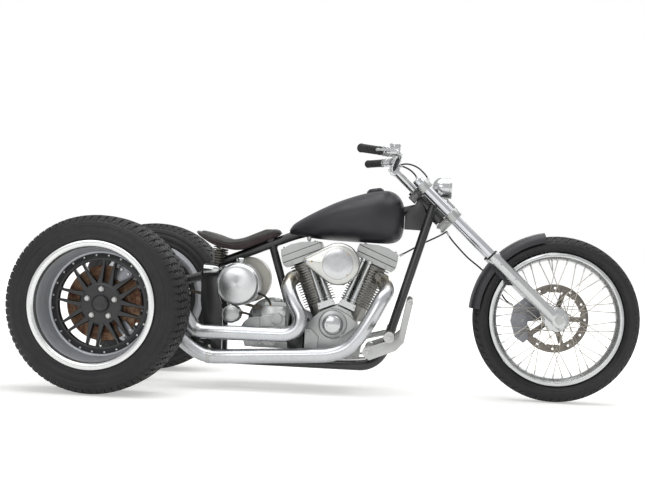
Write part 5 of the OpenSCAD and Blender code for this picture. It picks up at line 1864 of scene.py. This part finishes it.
@dataclass
class Bars:
    """Handlebar, risers, grips, levers and cables."""

    grip_in: Triple = (1064, 288, 1006)
    grip_out: Triple = (988, 379, 1006)

    def build(self) -> None:
        """Everything on the bar."""
        self.bar()
        self.grips()
        self.perches()
        self.cables()

    def bar(self) -> None:
        """The bent bar in one sweep, and its risers."""
        half = [(1119.2, 58, 950.4), (1119, 78, 950.6), (1121, 100, 956), (1128, 128, 973), (1136, 160, 993),
                (1139, 186, 1003), (1130, 208, 1006), (1112, 230, 1006), (1064, 288, 1006), (1024, 336, 1006)]
        left = [pt(*p) for p in half]
        right = [Vector((p.x, -p.y, p.z)) for p in reversed(left)]
        Solid().tube(soft_path(right + left, 8), 12.6, 28).piece("bar_tube", POLISHED, FRONT_END,
            replaces=("handlebar",))
        soften("risers", POLISHED, FRONT_END, 1.6, 3)
        spots = []
        for side in (-1, 1):
            for y in (side * 36, side * 54):
                for off in (-16, 16):
                    spots.append(Spot(FORK.p(-42 + off, y, 941), FORK.z, Y, 3.4))
        fasten("riser_screws", spots, FRONT_END)

    def grips(self) -> None:
        """Ribbed rubber grips with bare end rings."""
        solid, rings = Solid(), Solid()
        for side in (-1, 1):
            a = pt(self.grip_in[0], side * self.grip_in[1], self.grip_in[2])
            b = pt(self.grip_out[0], side * self.grip_out[1], self.grip_out[2])
            place = Place(a, X, Y, Z).facing(b - a)
            span = (b - a).length / MM
            profile = [(13, 0), (17.8, 0), (18, 2), (18, 9), (16.4, 11)]
            h = 13.0
            while h < span - 12:
                profile += [(16.4, h), (17.2, h + 0.7), (17.2, h + 2.4), (16.4, h + 3.1)]
                h += 4.2
            profile += [(16.4, span - 9), (18, span - 7), (18, span), (15.5, span + 5), (10, span + 7.6), (0, span + 8)]
            solid.lathe(place, profile, 36)
            rings.lathe(place, [(12.8, -7), (17, -7), (17, -0.4), (12.8, -0.4)], 36, loop=True)
        solid.piece("grip_rubbers", BLACK_RUBBER, FRONT_END, replaces=("grips",), slot="grip_rubber", angle=50)
        rings.piece("grip_rings", POLISHED, FRONT_END, 0.5)

    def perches(self) -> None:
        """Clamp, cup and curved lever on each side."""
        metal, screws = Solid(), []
        levers = Solid()
        for side in (-1, 1):
            def q(x: float, y: float, z: float) -> Vector:
                """A point on this side."""
                return pt(x, side * y, z)

            way = (q(1075, 275, 1006) - q(1103, 241, 1006)).normalized()
            clamp = Place(q(1103, 241, 1006), X, Y, Z).facing(way)
            metal.lathe(clamp, [(13, 0), (20, 0), (20, 16), (18.5, 17), (18.5, 26), (20, 27), (20, 44), (13, 44)], 40,
                loop=True)
            metal.bar(q(1092, 256, 1007), q(1134, 260, 1008), 13, 24)
            cup = Place(q(1122, 244, 1000), X, Y, Z)
            metal.lathe(cup, [(0, 0), (20, 0), (21, 2), (21, 30), (23, 31), (23, 38), (21, 41), (0, 42)], 40)
            metal.lathe(Place(q(1134, 262, 998), X, Y, Z), [(0, 0), (9, 0), (9, 20), (0, 20)], 24)
            screws += [Spot(cup.p(a, b, 41.2), Z, X, 2.4) for a, b in circle_outline(17, 4, start=45)]
            screws += [Spot(q(1119, 244, 1012), X, Z, 3), Spot(q(1134, 262, 1018), Z, X, 5)]
            line = soft_path([q(1138, 262, 1008), q(1126, 306, 1007), q(1092, 356, 1004), q(1052, 402, 1000)], 8)
            rings = []
            for i, p in enumerate(line):
                along = (line[min(i + 1, len(line) - 1)] - line[max(i - 1, 0)]).normalized()
                out = along.cross(Z).normalized()
                t = i / (len(line) - 1)
                wide, thick = 5.8 - 1.6 * t + (1.4 if i > len(line) - 4 else 0), 3.0 + (2.4 if i > len(line) - 4 else 0)
                rings.append([p + (Z * cos(a) * wide + out * sin(a) * thick) * MM for a in (2 * pi * k / 16 for k in range(16))])
            levers.skin(rings)
        metal.piece("perch_parts", POLISHED, FRONT_END, 0.8, replaces=("hand_controls",))
        levers.piece("levers", POLISHED, FRONT_END, angle=60)
        REPEAT.run("perch_screws", head(Head.DOME), screws, STEEL, FRONT_END)

    def cables(self) -> None:
        """Cables from the controls, and the thin one along the frame."""
        routes = [
            [(1130, 92, 970), (1146, 80, 984), (1178, 60, 986), (1216, 40, 972), (1248, 26, 944), (1268, 16, 916)],
            [(1140, -92, 966), (1160, -76, 962), (1184, -60, 952), (1206, -48, 934), (1218, -42, 914)],
        ]
        solid, ends = Solid(), Solid()
        for route in routes:
            line = soft_path([pt(*p) for p in route], 8)
            solid.tube(line, 3.5, 12)
            for a, b in ((line[0], line[2]), (line[-1], line[-3])):
                way = (b - a).normalized()
                ends.tube([a, a + way * 0.014], 4.6, 12)
        solid.piece("bar_lines", CABLE_BLACK, FRONT_END, replaces=("bar_cables",))
        ends.piece("bar_line_ends", STEEL, FRONT_END)
        route = [(1161, -40, 590), (1185, -34, 604), (1215, -18, 622), (1243, -8, 640), (1275, -6, 656), (1310, -4,
            674),
                 (1338, -2, 690), (1352, 0, 701)]
        line = soft_path([pt(*p) for p in route], 8)
        Solid().tube(line, 3.5, 12).piece("frame_cable", CABLE_BLACK, CHASSIS, replaces=("control_cable",))
        way = (line[2] - line[0]).normalized()
        Solid().tube([line[0] - way * 0.004, line[0] + way * 0.012], 5, 12).piece("frame_cable_end", STEEL, CHASSIS)


# --- studio


@dataclass
class Studio:
    """Pale floor, soft light and the camera."""

    spot: Triple = (0.2870, -4.8009, 0.5724)
    yaw: float = 4.5005
    pitch: float = -0.7080
    roll: float = 2.6197
    lens: float = 62.52

    def camera(self) -> None:
        """A camera a little above the axles, turned and rolled slightly."""
        a, p, r = (radians(v) for v in (self.yaw, self.pitch, self.roll))
        ahead = Vector((-sin(a) * cos(p), cos(a) * cos(p), -sin(p)))
        right = Vector((cos(a), sin(a), 0))
        up = right.cross(ahead)
        right2 = right * cos(r) + up * sin(r)
        up2 = -right * sin(r) + up * cos(r)
        data = bpy.data.cameras.new("camera")
        data.lens, data.sensor_width, data.sensor_fit = self.lens, 36, "HORIZONTAL"
        data.clip_start, data.clip_end = 0.05, 200
        made = put_in("camera", data)
        turn = Matrix((right2, up2, -ahead)).transposed().to_4x4()
        made.matrix_world = Matrix.Translation(Vector(self.spot)) @ turn
        bpy.context.scene.camera = made

    def floor(self) -> None:
        """A wide floor that stays near white where nothing shades it."""
        mesh = bpy.data.meshes.new("floor")
        size = 30
        mesh.from_pydata([(-size, -size, 0), (size, -size, 0), (size, size, 0), (-size, size, 0)], [], [(0, 1, 2, 3)])
        made = put_in("floor", mesh)
        mat = bpy.data.materials.new("floor")
        mat.use_nodes = True
        tree = mat.node_tree
        tree.nodes.clear()
        ray = add_node(tree, "ShaderNodeLightPath", {}).outputs
        seen = add_node(tree, "ShaderNodeMath", {0: ray["Is Camera Ray"], 1: ray["Is Glossy Ray"]}, operation="MAXIMUM")
        place = add_node(tree, "ShaderNodeTexCoord", {}).outputs["Object"]
        reach = add_node(tree, "ShaderNodeVectorMath", {0: place}, operation="LENGTH")
        fade = add_node(tree, "ShaderNodeMapRange", {
            "Value": reach.outputs["Value"], "From Min": 1.6, "From Max": 5.0, "To Min": 0.42, "To Max": 0.95,
        })
        level = add_node(tree, "ShaderNodeMath", {0: seen.outputs[0], 1: fade.outputs[0]}, operation="MULTIPLY")
        matt = add_node(tree, "ShaderNodeBsdfDiffuse", {"Color": (0.86, 0.86, 0.84, 1)})
        glow = add_node(tree, "ShaderNodeEmission", {"Color": (1, 1, 0.995, 1), "Strength": level.outputs[0]})
        both = add_node(tree, "ShaderNodeAddShader", {0: matt.outputs[0], 1: glow.outputs[0]})
        add_node(tree, "ShaderNodeOutputMaterial", {"Surface": both.outputs[0]})
        mesh.materials.append(mat)

    def world(self) -> None:
        """White to the eye and to gloss, softer on matt surfaces."""
        world = bpy.data.worlds.new("studio")
        bpy.context.scene.world = world
        world.use_nodes = True
        tree = world.node_tree
        tree.nodes.clear()
        ray = add_node(tree, "ShaderNodeLightPath", {}).outputs
        top = add_node(tree, "ShaderNodeMath", {0: ray["Is Camera Ray"], 1: ray["Is Transmission Ray"]},
                       operation="MAXIMUM")
        gloss = add_node(tree, "ShaderNodeMath", {0: ray["Is Glossy Ray"], 1: 0.55}, operation="MULTIPLY")
        both = add_node(tree, "ShaderNodeMath", {0: top.outputs[0], 1: gloss.outputs[0]}, operation="MAXIMUM")
        mix = add_node(tree, "ShaderNodeMix", {0: both.outputs[0], 2: 0.36, 3: 1.0})
        back = add_node(tree, "ShaderNodeBackground", {"Color": (1, 1, 1, 1), "Strength": mix.outputs[0]})
        add_node(tree, "ShaderNodeOutputWorld", {"Surface": back.outputs[0]})

    def lamps(self) -> None:
        """A large overhead softbox, one behind the camera and a low fill."""
        for name, at, aim, size, power in (
            ("overhead", (0.3, -0.3, 4.2), (0.1, 0, 0.4), (6.0, 4.0), 150),
            ("front", (-1.8, -5.5, 2.8), (0, 0, 0.4), (3.6, 2.2), 52),
            ("far", (2.0, 4.5, 2.8), (0, 0, 0.5), (4.0, 2.2), 45),
        ):
            data = bpy.data.lights.new(name, "AREA")
            data.shape, data.size, data.size_y, data.energy = "RECTANGLE", size[0], size[1], power
            made = put_in(name, data)
            made.location = at
            made.rotation_euler = (Vector(aim) - Vector(at)).to_track_quat("-Z", "Y").to_euler()

    def build(self) -> None:
        """Camera, floor, world and lamps."""
        scene = bpy.context.scene
        scene.view_settings.view_transform = "Standard"
        self.camera()
        self.floor()
        self.world()
        self.lamps()


def main() -> None:
    """Build every sub-assembly in order."""
    logging.basicConfig(level=logging.INFO, format="%(name)s: %(message)s")
    jobs: list[tuple[str, Callable[[], None]]] = [
        ("studio", Studio().build),
        ("chassis", Chassis().build),
        ("tank", Tank().build),
        ("saddle", Saddle().build),
        ("drums", Drums().build),
        ("engine", Engine().build),
        ("exhaust", Exhaust().build),
        ("foot controls", Controls().build),
        ("fork", Fork().build),
        ("bars", Bars().build),
        ("front wheel", FrontWheel().build),
        ("right rear wheel", RearWheel("right", -1).build),
        ("left rear wheel", RearWheel("left", 1).build),
    ]
    for name, job in jobs:
        job()


if __name__ == "__main__":
    main()
